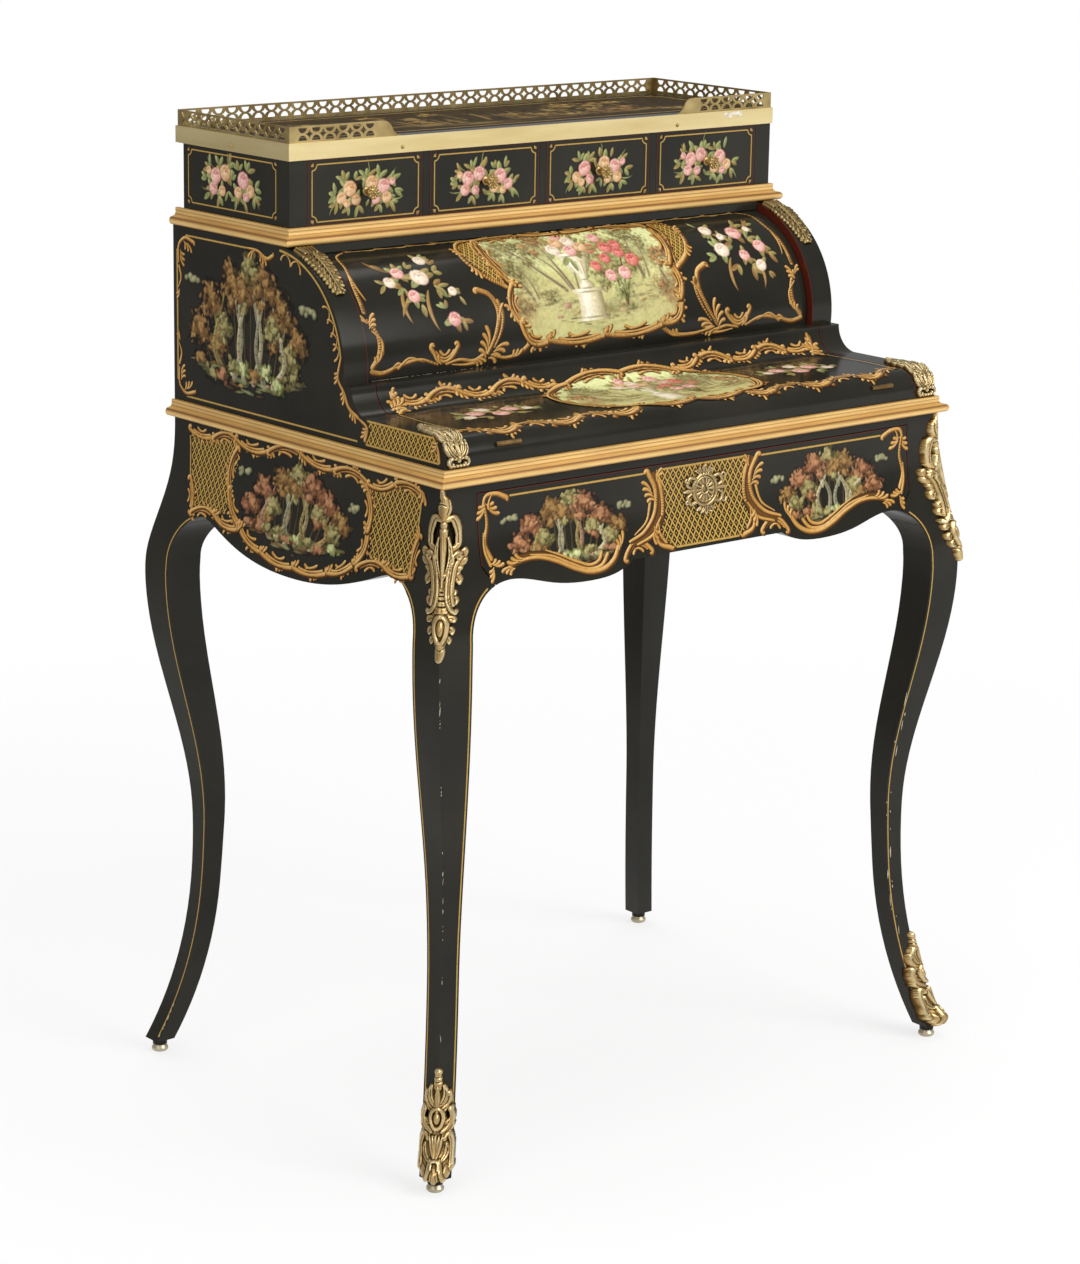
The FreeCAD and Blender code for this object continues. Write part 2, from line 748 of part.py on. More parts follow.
keep(group("hinge_flap_leaves", flap_leaves), "hinge_flap_leaves")
keep(group("hinge_pins", hinge_pins), "hinge_pins")

# Cylinder: a curved front on two quadrant arms that turn on pivots in the case sides
low_angle, high_angle = -mm("cylinder_low_angle"), mm("cylinder_high_angle")
outside, inside = mm("cylinder_radius"), mm("cylinder_radius") - mm("cylinder_thickness")
shell_edges = [
    sweep_arc(roll, outside, low_angle, high_angle),
    line(around(roll, outside, high_angle), around(roll, inside, high_angle)),
    sweep_arc(roll, inside, high_angle, low_angle),
    line(around(roll, inside, low_angle), around(roll, outside, low_angle)),
]
keep(extrude("cylinder_panel", "side", shell_edges, "-cylinder_half", "cylinder_half"), "cylinder_panel")

arm_radius = inside - mm("pivot_clearance")
arm_edges = [
    sweep_arc(roll, arm_radius, low_angle, high_angle),
    line(around(roll, arm_radius, high_angle), roll),
    line(roll, around(roll, arm_radius, low_angle)),
]
arm_span = ("-arm_outside", "-arm_outside + arm_thickness")
quadrant = extrude("arm_quadrant", "side", arm_edges, *arm_span)
hub = rod("arm_hub", "hub_radius", arm_span, "roll_y", "roll_z")
arm_bore = rod("arm_bore", "pivot_radius + pivot_clearance",
               ("-half_case", "-half_inside + pivot_plate_thickness + pivot_length"), "roll_y", "roll_z")
cylinder_arm_left = cut("cylinder_arm_left", join("arm_blank", [quadrant, hub]), arm_bore)
keep(cylinder_arm_left, "cylinder_arm_left")
keep(mirror("cylinder_arm_right", cylinder_arm_left), "cylinder_arm_right")

pivot_plate = rod("pivot_plate", "pivot_plate_radius",
                  ("-half_inside", "-half_inside + pivot_plate_thickness"), "roll_y", "roll_z")
pivot_pin = rod("pivot_pin", "pivot_radius", ("-half_inside", "-half_inside + pivot_length"),
                "roll_y", "roll_z")
pivot_left = join("pivot_left", [pivot_plate, pivot_pin])
keep(group("cylinder_pivots", [pivot_left, mirror("pivot_right", pivot_left)]), "cylinder_pivots")

# Rail that closes the case above the cylinder
rail_radius = mm("cylinder_radius") + mm("roll_clearance")
rail_angle = math.degrees(math.acos(mm("rail_front_offset") / rail_radius))
rail_front = mm("roll_y") - mm("rail_front_offset")
rail_edges = [
    sweep_arc(roll, rail_radius, rail_angle, 90),
    line(around(roll, rail_radius, 90), (roll[0], mm("case_top"))),
    line((roll[0], mm("case_top")), (rail_front, mm("case_top"))),
    line((rail_front, mm("case_top")), around(roll, rail_radius, rail_angle)),
]
keep(extrude("cylinder_rail", "side", rail_edges, "-half_inside", "half_inside"), "cylinder_rail")

# Tier floor with the cornice moulding on its edges, then the tier's sides, dividers and top
keep(board("tier_floor", ("-half_tier", "half_tier"), ("tier_front", "back_inside"),
           ("case_top", "floor_top")), "tier_floor")
moulding("cornice_moulding", "half_tier", "tier_front", "case_top", "floor_top")
tier_z = ("floor_top", "tier_ceiling")
tier_side_left = board("tier_side_left", ("-half_tier", "-half_tier_inside"), ("tier_front", "back_inside"),
                       tier_z)
keep(tier_side_left, "tier_side_left")
keep(mirror("tier_side_right", tier_side_left), "tier_side_right")
bay_lefts = [f"(-half_tier_inside + {index} * (drawer_bay + divider_thickness))" for index in range(4)]
dividers = [
    board(f"divider_{index}", (f"{left} - divider_thickness", left), ("tier_front", "back_inside"), tier_z)
    for index, left in enumerate(bay_lefts[1:], start=1)
]
keep(group("tier_dividers", dividers), "tier_dividers")
keep(board("tier_top", ("-half_tier", "half_tier"), ("tier_front", "case_back"),
           ("tier_ceiling", "top_face")), "tier_top")

# Four small drawers in the tier, each with a turned brass knob
knob_shape = [(0, 0), (1, 0), (1, 0.07), (0.62, 0.18), (0.36, 0.3), (0.36, 0.47), (0.72, 0.65), (0.72, 0.82),
              (0.4, 1), (0, 1)]
knob_points = [(mm("knob_radius") * across, mm("knob_length") * along) for across, along in knob_shape]
knob_profile = outline("knob_profile", "front", polygon(knob_points))
box_y = ("tier_front + tier_front_thickness", "tier_box_back")
for index, left in enumerate(bay_lefts, start=1):
    right = f"{left} + drawer_bay"
    front_x = (f"{left} + tier_gap", f"{right} - tier_gap")
    front_z = ("floor_top + running_gap", "tier_ceiling - tier_gap")
    name = f"tier_drawer_{index}"
    keep(board(name + "_front", front_x, ("tier_front", box_y[0]), front_z), name + "_front")
    side_z = (front_z[0], "tier_ceiling - tier_box_drop")
    inner_x = (front_x[0] + " + tier_box_wall", front_x[1] + " - tier_box_wall")
    box_pieces = [
        board(name + "_left", (front_x[0], inner_x[0]), box_y, side_z),
        board(name + "_right", (inner_x[1], front_x[1]), box_y, side_z),
        board(name + "_back", inner_x, ("tier_box_back - tier_box_wall", "tier_box_back"), side_z),
        board(name + "_bottom", inner_x, (box_y[0], "tier_box_back - tier_box_wall"),
              (front_z[0], front_z[0] + " + tier_box_bottom")),
    ]
    keep(group(name + "_box", box_pieces), name + "_box")
    knob = lathe(name + "_knob", knob_profile)
    knob.Placement = FreeCAD.Placement(Vector(), planes["front"])
    for axis, place in (("x", f"{left} + drawer_bay / 2"), ("y", "tier_front"), ("z", "knob_z")):
        knob.setExpression("Placement.Base." + axis, bind(place))
    keep(knob, name + "_knob")

# Frieze drawer: the scalloped front is also the front apron
drawer_half = mm("half_bay") - mm("drawer_gap")
ear_offset = mm("stile_width") + mm("ear_reach")
ear_tip = (mm("half_case") - ear_offset, arch_z(-ear_offset))
corner_tip = (ear_tip[0] - mm("drawer_gap"), arch_z(-ear_offset - mm("drawer_gap")))
corner_side = (drawer_half, ear_tip[1] + mm("ear_rise") + mm("drawer_gap"))
centre_half = mm("drawer_centre_width") / 2
centre_z = mm("leg_top") - mm("drawer_centre_rise")
lobe_z = centre_z - mm("drawer_lobe_drop")
lobe_x = mm("drawer_lobe_place")
drawer_apex = (mm("half_case") + arch_offset(), apex_z)
lobe = [corner_tip, drawer_apex, ((drawer_apex[0] + lobe_x) / 2, (apex_z + 2 * lobe_z) / 3),
        (lobe_x, lobe_z), ((lobe_x + 2 * centre_half) / 3, lobe_z + mm("drawer_lobe_drop") / 3),
        (centre_half, centre_z)]


def left_of(points):
    return [(-u, v) for u, v in points]


top_right = (drawer_half, mm("drawer_top"))
front_edges = [
    line((-drawer_half, mm("drawer_top")), top_right),
    line(top_right, corner_side),
    line(corner_side, corner_tip),
    curve(lobe),
    line(lobe[-1], (-centre_half, centre_z)),
    curve(left_of(lobe[::-1])),
    line((-corner_tip[0], corner_tip[1]), (-corner_side[0], corner_side[1])),
    line((-corner_side[0], corner_side[1]), (-drawer_half, mm("drawer_top"))),
]
front_sawn = extrude("drawer_front_sawn", "front", front_edges,
                     "case_front - 2 * knee_swell", "drawer_inside")
drawer_section_low = lobe_z - mm("drawer_lobe_drop")
front_section = extrude("drawer_front_section", "side",
                        flared_section(from_front, mm("drawer_inside"), drawer_section_low),
                        "-half_bay", "half_bay")
keyhole = doc.addObject("Part::Cylinder", "keyhole")
keyhole.Placement = FreeCAD.Placement(Vector(), planes["front"])
keyhole.setExpression("Radius", bind("keyhole_radius"))
keyhole.setExpression("Height", bind("drawer_front_thickness + 2 * knee_swell"))
keyhole.setExpression("Placement.Base.y", bind("drawer_inside"))
keyhole.setExpression("Placement.Base.z", bind("keyhole_z"))
drawer_shape = both("drawer_front_shape", front_sawn, front_section)
keep(cut("frieze_drawer_front", drawer_shape, keyhole), "frieze_drawer_front")

frieze_z = ("box_under", "box_top")
frieze_inner = "box_half - drawer_side_thickness"
frieze_left = board("frieze_side_left", ("-box_half", f"-({frieze_inner})"),
                    ("drawer_inside", "box_back"), frieze_z)
frieze_sides = [frieze_left, mirror("frieze_side_right", frieze_left)]
keep(group("frieze_drawer_sides", frieze_sides), "frieze_drawer_sides")
keep(board("frieze_drawer_back", (f"-({frieze_inner})", frieze_inner),
           ("box_back - drawer_side_thickness", "box_back"), frieze_z), "frieze_drawer_back")
keep(board("frieze_drawer_bottom", (f"-({frieze_inner})", frieze_inner),
           ("drawer_inside", "box_back - drawer_side_thickness"),
           ("box_under", "box_under + drawer_bottom_thickness")), "frieze_drawer_bottom")

# Lock on the back of the drawer front, its bolt and the keyhole plate
bolt_x = ("-bolt_width / 2", "bolt_width / 2")
lock_case = board("lock_case", ("-lock_width / 2", "lock_width / 2"),
                  ("drawer_inside", "drawer_inside + lock_thickness"),
                  ("drawer_top - lock_height", "drawer_top"))
bolt_slot = board("bolt_slot", (bolt_x[0] + " - bolt_clearance", bolt_x[1] + " + bolt_clearance"),
                  (bolt_front + " - bolt_clearance", bolt_rear + " + bolt_clearance"),
                  ("bolt_under", "drawer_top + bolt_travel"))
keep(cut("drawer_lock", lock_case, bolt_slot), "drawer_lock")
keep(board("lock_bolt", bolt_x, (bolt_front, bolt_rear), ("bolt_under", "drawer_top")), "lock_bolt")

plate_half_z = mm("escutcheon_height") / 2
plate_heights = heights(drawer_section_low, mm("leg_top"), flare_stations)
plate_back = [(from_front(leg_out(z) + mm("mount_seat")), z) for z in plate_heights]
plate_front = [(y - mm("escutcheon_thickness"), z) for y, z in reversed(plate_back)]
plate_section = [curve(plate_back), line(plate_back[-1], plate_front[0]), curve(plate_front),
                 line(plate_front[-1], plate_back[0])]
plate_bend = extrude("escutcheon_section", "side", plate_section, "-escutcheon_width", "escutcheon_width")
plate_oval = Part.Ellipse(Vector(0, mm("keyhole_z"), 0), mm("escutcheon_width") / 2, plate_half_z)
plate_sawn = extrude("escutcheon_sawn", "front", [plate_oval], "case_front - 2 * knee_swell", "case_front")
keep(cut("escutcheon", both("escutcheon_plate", plate_sawn, plate_bend), keyhole), "escutcheon")

# Brass band round the tier top, its domed pins and the pierced gallery standing on it
band_z = ("tier_ceiling", "top_face")
band_outer = board("band_outer", ("-band_half", "band_half"), ("band_front", "band_back"), band_z)
band_inner = board("band_inner", ("-half_tier", "half_tier"), ("tier_front", "case_back"), band_z)
keep(cut("gallery_band", band_outer, band_inner), "gallery_band")

pin_z = mm("tier_ceiling") + mm("tier_top_thickness") / 3
pin_places = [(sign * mm("pin_spacing") / 2, mm("band_front"), 90) for sign in (-1, 1)]
pin_places += [(sign * mm("pin_spacing") / 2, mm("band_back"), -90) for sign in (-1, 1)]
middle_y = (mm("band_front") + mm("band_back")) / 2
pin_turns = {-1: FreeCAD.Rotation(Vector(0, 1, 0), -90), 1: along_x}
pins = []
for index, (x, y, turn) in enumerate(pin_places):
    pin = doc.addObject("Part::Sphere", f"band_pin_{index}")
    pin.Placement = FreeCAD.Placement(Vector(x, y, pin_z), FreeCAD.Rotation(Vector(1, 0, 0), turn))
    pins.append(pin)
for sign, turn in pin_turns.items():
    pin = doc.addObject("Part::Sphere", f"band_pin_side_{sign + 1}")
    pin.Placement = FreeCAD.Placement(Vector(sign * mm("band_half"), middle_y, pin_z), turn)
    pins.append(pin)
for pin in pins:
    pin.setExpression("Radius", bind("pin_radius"))
    pin.Angle1 = 0
keep(group("band_pins", pins), "band_pins")


hole_shoulder = 0.72
diamond_waist = 0.36


def fret_holes(low, high):
    """Two rows of half-round holes with a curved diamond between each two of them."""
    pitch, rim, radius = mm("gallery_pitch"), mm("gallery_rim"), mm("gallery_hole_radius")
    bottom, top = mm("top_face") + rim, mm("top_face") + mm("gallery_height") - rim
    count = int((high - low - 2 * rim) // pitch)
    first = (low + high - (count - 1) * pitch) / 2
    middle = (bottom + top) / 2
    spread = pitch / 2 - radius * hole_shoulder
    edges = []
    for index in range(count):
        at = first + index * pitch
        for level, sign in ((bottom, 1), (top, -1)):
            edges.append(line((at - radius, level), (at + radius, level)))
            edges.append(arc((at + radius, level), (at, level + sign * radius), (at - radius, level)))
        if index == count - 1:
            continue
        centre = at + pitch / 2
        tips = [(centre + spread, middle), (centre, middle + spread),
                (centre - spread, middle), (centre, middle - spread)]
        for start, end in zip(tips, tips[1:] + tips[:1]):
            waist = (centre + (start[0] + end[0] - 2 * centre) * diamond_waist,
                     middle + (start[1] + end[1] - 2 * middle) * diamond_waist)
            edges.append(arc(start, waist, end))
    return edges


fret_low, fret_high = mm("top_face"), mm("top_face") + mm("gallery_height")


def fret_frame(low, high):
    return polygon([(low, fret_low), (high, fret_low), (high, fret_high), (low, fret_high)])


half_tier = mm("half_tier")
back_fret = extrude("fret_back", "front",
                    fret_frame(-half_tier, half_tier) + fret_holes(-half_tier, half_tier),
                    "case_back - gallery_thickness", "case_back")
side_low, side_high = mm("tier_front") + mm("gallery_thickness"), mm("case_back") - mm("gallery_thickness")
side_fret = extrude("fret_left", "side", fret_frame(side_low, side_high) + fret_holes(side_low, side_high),
                    "-half_tier", "-half_tier + gallery_thickness")
return_end = -half_tier + mm("gallery_return")
slope_end = return_end + mm("gallery_slope")
half_run, half_fall = mm("gallery_slope") / 2, mm("gallery_height") / 2
slope_radius = (half_run ** 2 + half_fall ** 2) / (2 * half_fall)
slope_bend = math.asin(half_run / slope_radius) / 2
bend_run, bend_fall = slope_radius * math.sin(slope_bend), slope_radius * (1 - math.cos(slope_bend))
slope_middle = (return_end + half_run, fret_low + half_fall)
return_edges = [
    line((-half_tier, fret_low), (-half_tier, fret_high)),
    line((-half_tier, fret_high), (return_end, fret_high)),
    arc((return_end, fret_high), (return_end + bend_run, fret_high - bend_fall), slope_middle),
    arc(slope_middle, (slope_end - bend_run, fret_low + bend_fall), (slope_end, fret_low)),
    line((slope_end, fret_low), (-half_tier, fret_low)),
]
front_fret = extrude("fret_return_left", "front", return_edges + fret_holes(-half_tier, return_end),
                     "tier_front", "tier_front + gallery_thickness")
frets = [back_fret, side_fret, mirror("fret_right", side_fret),
         front_fret, mirror("fret_return_right", front_fret)]
keep(group("gallery_fret", frets), "gallery_fret")

# Gilt mounts on the front legs: each hugs the outer corner of its leg


def corner_post(name, beyond, wrap, low, high):
    """A post along the outer corner of the front left leg, from a wrap inside to a reach beyond."""
    levels = heights(low, high, leg_stations)
    faces = []
    for plane, place in (("front", from_left), ("side", from_front)):
        outer = [(place(leg_out(z) + beyond), z) for z in levels]
        inner = [(place(leg_out(z) - wrap), z) for z in reversed(levels)]
        faces.append([curve(outer), line(outer[-1], inner[0]), curve(inner), line(inner[-1], outer[0])])
    reach = "mount_thickness + knee_swell + foot_kick"
    blank_x = extrude(name + "_front_sawn", "front", faces[0],
                      f"case_front - ({reach})", "case_front + case_depth / 4")
    blank_y = extrude(name + "_side_sawn", "side", faces[1],
                      f"-half_case - ({reach})", "-half_case + case_width / 4")
    return both(name, blank_x, blank_y)


def leaf_edges(shape, middle, width, low, high):
    """A leaf outline from pairs of (share along, share of half width)."""
    right = [(middle + width / 2 * across, low + (high - low) * along) for along, across in shape]
    left = [(2 * middle - u, v) for u, v in reversed(right)]
    return [curve(right), line(right[-1], left[0]), curve(left), line(left[-1], right[0])]


def leaf_prism(name, shape, low, high, width):
    """A leaf outline seen square to the corner of the leg."""
    sketch = outline(name + "_outline", "front", leaf_edges(shape, 0, width, low, high))
    turn = FreeCAD.Rotation(Vector(0, 0, 1), -45)
    start = Vector(-mm("half_case"), mm("case_front"), 0) + Vector(1, 1, 0) * mm("stile_width")
    sketch.Placement = FreeCAD.Placement(start, turn * planes["front"])
    prism = doc.addObject("Part::Extrusion", name)
    prism.Base = sketch
    prism.DirMode = "Custom"
    prism.Dir = Vector(-1, -1, 0)
    prism.Solid = True
    prism.setExpression("LengthFwd", bind("2 * (stile_width + knee_swell + foot_kick)"))
    return prism


mount_margin = mm("mount_margin")
seat = mm("mount_seat")
knee_high = mm("leg_top") - mount_margin
knee_low = knee_high - mm("knee_mount_height")
knee_shape = [(0, 0.12), (0.08, 0.3), (0.2, 0.52), (0.32, 0.5), (0.46, 0.66), (0.62, 1), (0.76, 0.6),
              (0.9, 0.34), (1, 0.2)]
knee_wrap = mm("knee_mount_width")
knee_shell = cut("knee_shell",
                 corner_post("knee_post", mm("mount_thickness"), knee_wrap, knee_low, knee_high),
                 corner_post("knee_seat", seat, 2 * knee_wrap,
                             knee_low - mount_margin, knee_high + mount_margin))
knee_left = both("knee_mount_left", knee_shell,
                 leaf_prism("knee_leaf", knee_shape, knee_low, knee_high, mm("knee_mount_width")))
keep(group("knee_mounts", [knee_left, mirror("knee_mount_right", knee_left)]), "knee_mounts")

sabot_low = mm("foot_lift") + mount_margin
sabot_high = sabot_low + mm("sabot_height")
sabot_shape = [(0, 1), (0.25, 0.96), (0.5, 0.74), (0.75, 0.48), (1, 0.12)]
sabot_post = corner_post("sabot_post", mm("mount_thickness"), mm("sabot_width"), sabot_low, sabot_high)
sabot_leaf = both("sabot_leaf", sabot_post,
                  leaf_prism("sabot_prism", sabot_shape, sabot_low, sabot_high, mm("sabot_width")))
toe_z = sabot_low + mm("sabot_toe_radius")
toe_out = leg_out(toe_z) + mm("mount_thickness") / 2
toe = doc.addObject("Part::Cylinder", "sabot_toe")
toe.setExpression("Radius", bind("sabot_toe_radius"))
toe.setExpression("Height", bind("sabot_toe_width"))
toe_axis = Vector(1, -1, 0).normalize()
toe_middle = Vector(from_left(toe_out), from_front(toe_out), toe_z)
toe.Placement = FreeCAD.Placement(toe_middle - toe_axis * (mm("sabot_toe_width") / 2),
                                  FreeCAD.Rotation(Vector(0, 0, 1), toe_axis))
sabot_seat = corner_post("sabot_seat", seat, 2 * mm("sabot_width"),
                         sabot_low - mount_margin, sabot_high + mount_margin)
sabot_left = cut("sabot_left", join("sabot_blank", [sabot_leaf, toe]), sabot_seat)
keep(group("sabots", [sabot_left, mirror("sabot_right", sabot_left)]), "sabots")

# Gilt leaf mounts along the front edges of the case sides
mount = mm("mount_thickness")
upper_in, upper_out = mm("side_radius") + seat, mm("side_radius") + mount
upper_first = math.degrees(math.asin((mm("case_top") - mount_margin / 4 - roll[1]) / upper_out))
upper_last = upper_first - mm("upper_mount_angle")
upper_edges = [
    sweep_arc(roll, upper_in, upper_last, upper_first),
    line(around(roll, upper_in, upper_first), around(roll, upper_out, upper_first)),
    sweep_arc(roll, upper_out, upper_first, upper_last),
    line(around(roll, upper_out, upper_last), around(roll, upper_in, upper_last)),
]
side_middle = -mm("half_case") + mm("side_thickness") / 2
upper_shape = [(0, 0.1), (0.25, 0.62), (0.6, 1), (0.85, 0.9), (1, 0.7)]
upper_strip = extrude("upper_mount_strip", "side", upper_edges, "-half_case", "-half_inside")
upper_span = (around(roll, upper_out, upper_last)[0], around(roll, upper_in, upper_first)[0])
upper_leaf = extrude("upper_mount_leaf", "plan",
                     leaf_edges(upper_shape, side_middle, mm("upper_mount_width"), *upper_span),
                     "waist_top", "case_top")
upper_left = both("upper_mount_left", upper_strip, upper_leaf)
keep(group("upper_mounts", [upper_left, mirror("upper_mount_right", upper_left)]), "upper_mounts")

lower_in, lower_out = mm("front_round") + seat, mm("front_round") + mount
lower_end = round_centre[0] + mm("lower_mount_length") - mm("front_round")
lower_z = mm("waist_top") + mount_margin / 4


def on_round(radius, degrees):
    return around(round_centre, radius, degrees)


lower_edges = [
    line((lower_end, on_round(lower_in, 90)[1]), on_round(lower_in, 90)),
    sweep_arc(round_centre, lower_in, 90, 0),
    line(on_round(lower_in, 0), (on_round(lower_in, 0)[0], lower_z)),
    line((on_round(lower_in, 0)[0], lower_z), (on_round(lower_out, 0)[0], lower_z)),
    line((on_round(lower_out, 0)[0], lower_z), on_round(lower_out, 0)),
    sweep_arc(round_centre, lower_out, 0, 90),
    line(on_round(lower_out, 90), (lower_end, on_round(lower_out, 90)[1])),
    line((lower_end, on_round(lower_out, 90)[1]), (lower_end, on_round(lower_in, 90)[1])),
]
lower_shape = [(0, 1), (0.3, 1), (0.55, 0.8), (0.8, 0.5), (1, 0.1)]
lower_strip = extrude("lower_mount_strip", "side", lower_edges, "-half_case", "-half_inside")
lower_leaf = extrude("lower_mount_leaf", "plan",
                     leaf_edges(lower_shape, side_middle, mm("lower_mount_width"),
                                on_round(lower_out, 0)[0], lower_end),
                     "leg_top", "case_top")
lower_left = both("lower_mount_left", lower_strip, lower_leaf)
keep(group("lower_mounts", [lower_left, mirror("lower_mount_right", lower_left)]), "lower_mounts")

# Check the whole document, then write one file for each sub-part
doc.recompute()
for item in doc.Objects:
    if "Invalid" in item.State or "Error" in item.State:
        raise RuntimeError(f"{item.Name} failed to compute")
for piece in nodes:
    if piece.Shape.isNull() or not piece.Shape.isValid() or not piece.Shape.Solids:
        raise RuntimeError(f"{piece.Label} has no sound shape")
os.makedirs("parts", exist_ok=True)
for piece in nodes:
    piece.Shape.exportStep(f"parts/{piece.Label}.step")
print(len(nodes), "sub-parts written")
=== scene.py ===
import json
import math
import random
import bpy
import numpy as np
from mathutils import Matrix, Vector


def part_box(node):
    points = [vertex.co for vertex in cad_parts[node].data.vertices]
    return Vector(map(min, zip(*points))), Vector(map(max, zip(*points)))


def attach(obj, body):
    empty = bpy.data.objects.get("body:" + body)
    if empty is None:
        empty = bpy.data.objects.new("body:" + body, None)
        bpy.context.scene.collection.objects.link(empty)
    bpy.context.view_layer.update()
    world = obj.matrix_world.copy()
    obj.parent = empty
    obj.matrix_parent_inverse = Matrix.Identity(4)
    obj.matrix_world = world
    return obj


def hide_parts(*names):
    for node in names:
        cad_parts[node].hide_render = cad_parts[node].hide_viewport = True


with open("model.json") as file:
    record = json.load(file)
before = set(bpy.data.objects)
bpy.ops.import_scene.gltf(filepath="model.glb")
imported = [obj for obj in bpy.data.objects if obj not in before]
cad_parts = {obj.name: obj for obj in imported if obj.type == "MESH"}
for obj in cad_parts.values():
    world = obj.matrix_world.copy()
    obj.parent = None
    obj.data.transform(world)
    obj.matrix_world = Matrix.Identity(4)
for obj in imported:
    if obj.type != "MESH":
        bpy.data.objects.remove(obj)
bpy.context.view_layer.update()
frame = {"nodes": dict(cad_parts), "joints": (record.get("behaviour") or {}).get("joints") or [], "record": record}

mm = 0.001
bothSides = (("left", -1), ("right", 1))


def nodeBox(node):  # lowest and highest corners of a CAD node, in millimetres
    low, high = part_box(node)
    return [c / mm for c in low], [c / mm for c in high]


def jointPlace(name):
    joint = next(j for j in frame["joints"] if j["name"] == name)
    return [c / mm for c in joint["pos_m"]]


waistLow, waistHigh = nodeBox("waist_board")
frontY, backY = waistLow[1], waistHigh[1]
halfCase, legTop = waistHigh[0], waistLow[2]
rollY, rollZ = jointPlace("cylinder_roll")[1:]
cylinderRadius = rollY - nodeBox("cylinder_panel")[0][1]
sideRadius = nodeBox("case_side_left")[1][2] - rollZ
flapTop, coveY = nodeBox("flap_panel")[1][2], nodeBox("flap_panel")[1][1]
ledgeZ, flapBack = nodeBox("flap_cove")[1][2], nodeBox("flap_cove")[1][1]
tierLow, tierHigh = nodeBox("tier_floor")
tierFront, halfTier = tierLow[1], tierHigh[0]
topFace = nodeBox("tier_top")[1][2]
footZ = 14
frontRound = 22


# Materials

def tone(code):  # a painter's hex colour as linear light
    parts = [int(code[i:i + 2], 16) / 255 for i in (0, 2, 4)]
    return tuple(p / 12.92 if p < 0.04045 else ((p + 0.055) / 1.055) ** 2.4 for p in parts)


def toneSet(*codes):
    return tuple(tone(code) for code in codes)


def startMaterial(name, roughness, metallic=0.0):
    material = bpy.data.materials.new(name)
    material.use_nodes = True
    nodes = material.node_tree.nodes
    shader = nodes["Principled BSDF"]
    shader.inputs["Roughness"].default_value = roughness
    shader.inputs["Metallic"].default_value = metallic
    return material, nodes, material.node_tree.links, shader


def addNoise(nodes, links, scale, detail=4.0, stretch=(1, 1, 1), roughness=0.55):
    place = nodes.new("ShaderNodeTexCoord")
    mapping = nodes.new("ShaderNodeMapping")
    mapping.inputs["Scale"].default_value = stretch
    noise = nodes.new("ShaderNodeTexNoise")
    noise.inputs["Scale"].default_value = scale
    noise.inputs["Detail"].default_value = detail
    noise.inputs["Roughness"].default_value = roughness
    links.new(place.outputs["Object"], mapping.inputs["Vector"])
    links.new(mapping.outputs["Vector"], noise.inputs["Vector"])
    return noise.outputs["Fac"]


def addRamp(nodes, links, source, stops):
    ramp = nodes.new("ShaderNodeValToRGB")
    elements = ramp.color_ramp.elements
    elements[0].position, elements[1].position = stops[0][0], stops[-1][0]
    for at, colour in stops[1:-1]:
        elements.new(at)
    for element, (at, colour) in zip(elements, stops):
        element.color = (*colour, 1)
    links.new(source, ramp.inputs["Fac"])
    return ramp.outputs["Color"]


def addBump(nodes, links, shader, source, strength, depth):
    bump = nodes.new("ShaderNodeBump")
    bump.inputs["Strength"].default_value = strength
    bump.inputs["Distance"].default_value = depth
    links.new(source, bump.inputs["Height"])
    links.new(bump.outputs["Normal"], shader.inputs["Normal"])


def addMix(nodes, links, share, first, second):
    mix = nodes.new("ShaderNodeMix")
    mix.data_type = "RGBA"
    links.new(share, mix.inputs[0])
    for socket, value in ((mix.inputs[6], first), (mix.inputs[7], second)):  # the colour sockets
        if isinstance(value, tuple):
            socket.default_value = (*value, 1)
        else:
            links.new(value, socket)
    return mix.outputs[2]


def addMath(nodes, links, operation, first, second):
    node = nodes.new("ShaderNodeMath")
    node.operation = operation
    for socket, value in zip(node.inputs, (first, second)):
        if isinstance(value, (int, float)):
            socket.default_value = value
        else:
            links.new(value, socket)
    return node.outputs[0]


def addRange(nodes, links, source, limits):  # limits: from low, from high, to low, to high
    node = nodes.new("ShaderNodeMapRange")
    for socket, value in zip(("From Min", "From Max", "To Min", "To Max"), limits):
        node.inputs[socket].default_value = value
    links.new(source, node.inputs["Value"])
    return node.outputs["Result"]


def objectAxis(nodes, links, axis):
    place = nodes.new("ShaderNodeTexCoord")
    split = nodes.new("ShaderNodeSeparateXYZ")
    links.new(place.outputs["Object"], split.inputs["Vector"])
    return split.outputs[axis]


lacquer = {"deep": tone("1f1e18"), "worn": tone("2b2921"), "edge": tone("5a2317"), "roughness": 0.15,
           "sheen": 0.4, "bend": 1.33}


def makeLacquer(name, edges=()):  # edges: (axis, middle, half) where bare red-brown wood shows
    material, nodes, links, shader = startMaterial(name, lacquer["roughness"])
    shader.inputs["Specular IOR Level"].default_value = lacquer["sheen"]
    shader.inputs["IOR"].default_value = lacquer["bend"]
    cloud = addNoise(nodes, links, 9, detail=6)
    colour = addRamp(nodes, links, cloud, [(0.35, lacquer["deep"]), (0.75, lacquer["worn"])])
    for axis, middle, half in edges:
        away = addMath(nodes, links, "SUBTRACT", objectAxis(nodes, links, axis), middle * mm)
        outside = addMath(nodes, links, "GREATER_THAN", addMath(nodes, links, "ABSOLUTE", away, 0), half * mm)
        colour = addMix(nodes, links, outside, colour, lacquer["edge"])
    links.new(colour, shader.inputs["Base Color"])
    smear = addNoise(nodes, links, 38, detail=5)
    rough = addRange(nodes, links, smear, (0, 1, lacquer["roughness"] - 0.05, lacquer["roughness"] + 0.08))
    links.new(rough, shader.inputs["Roughness"])
    addBump(nodes, links, shader, addNoise(nodes, links, 140, detail=3), 0.05, 0.0004)
    return material


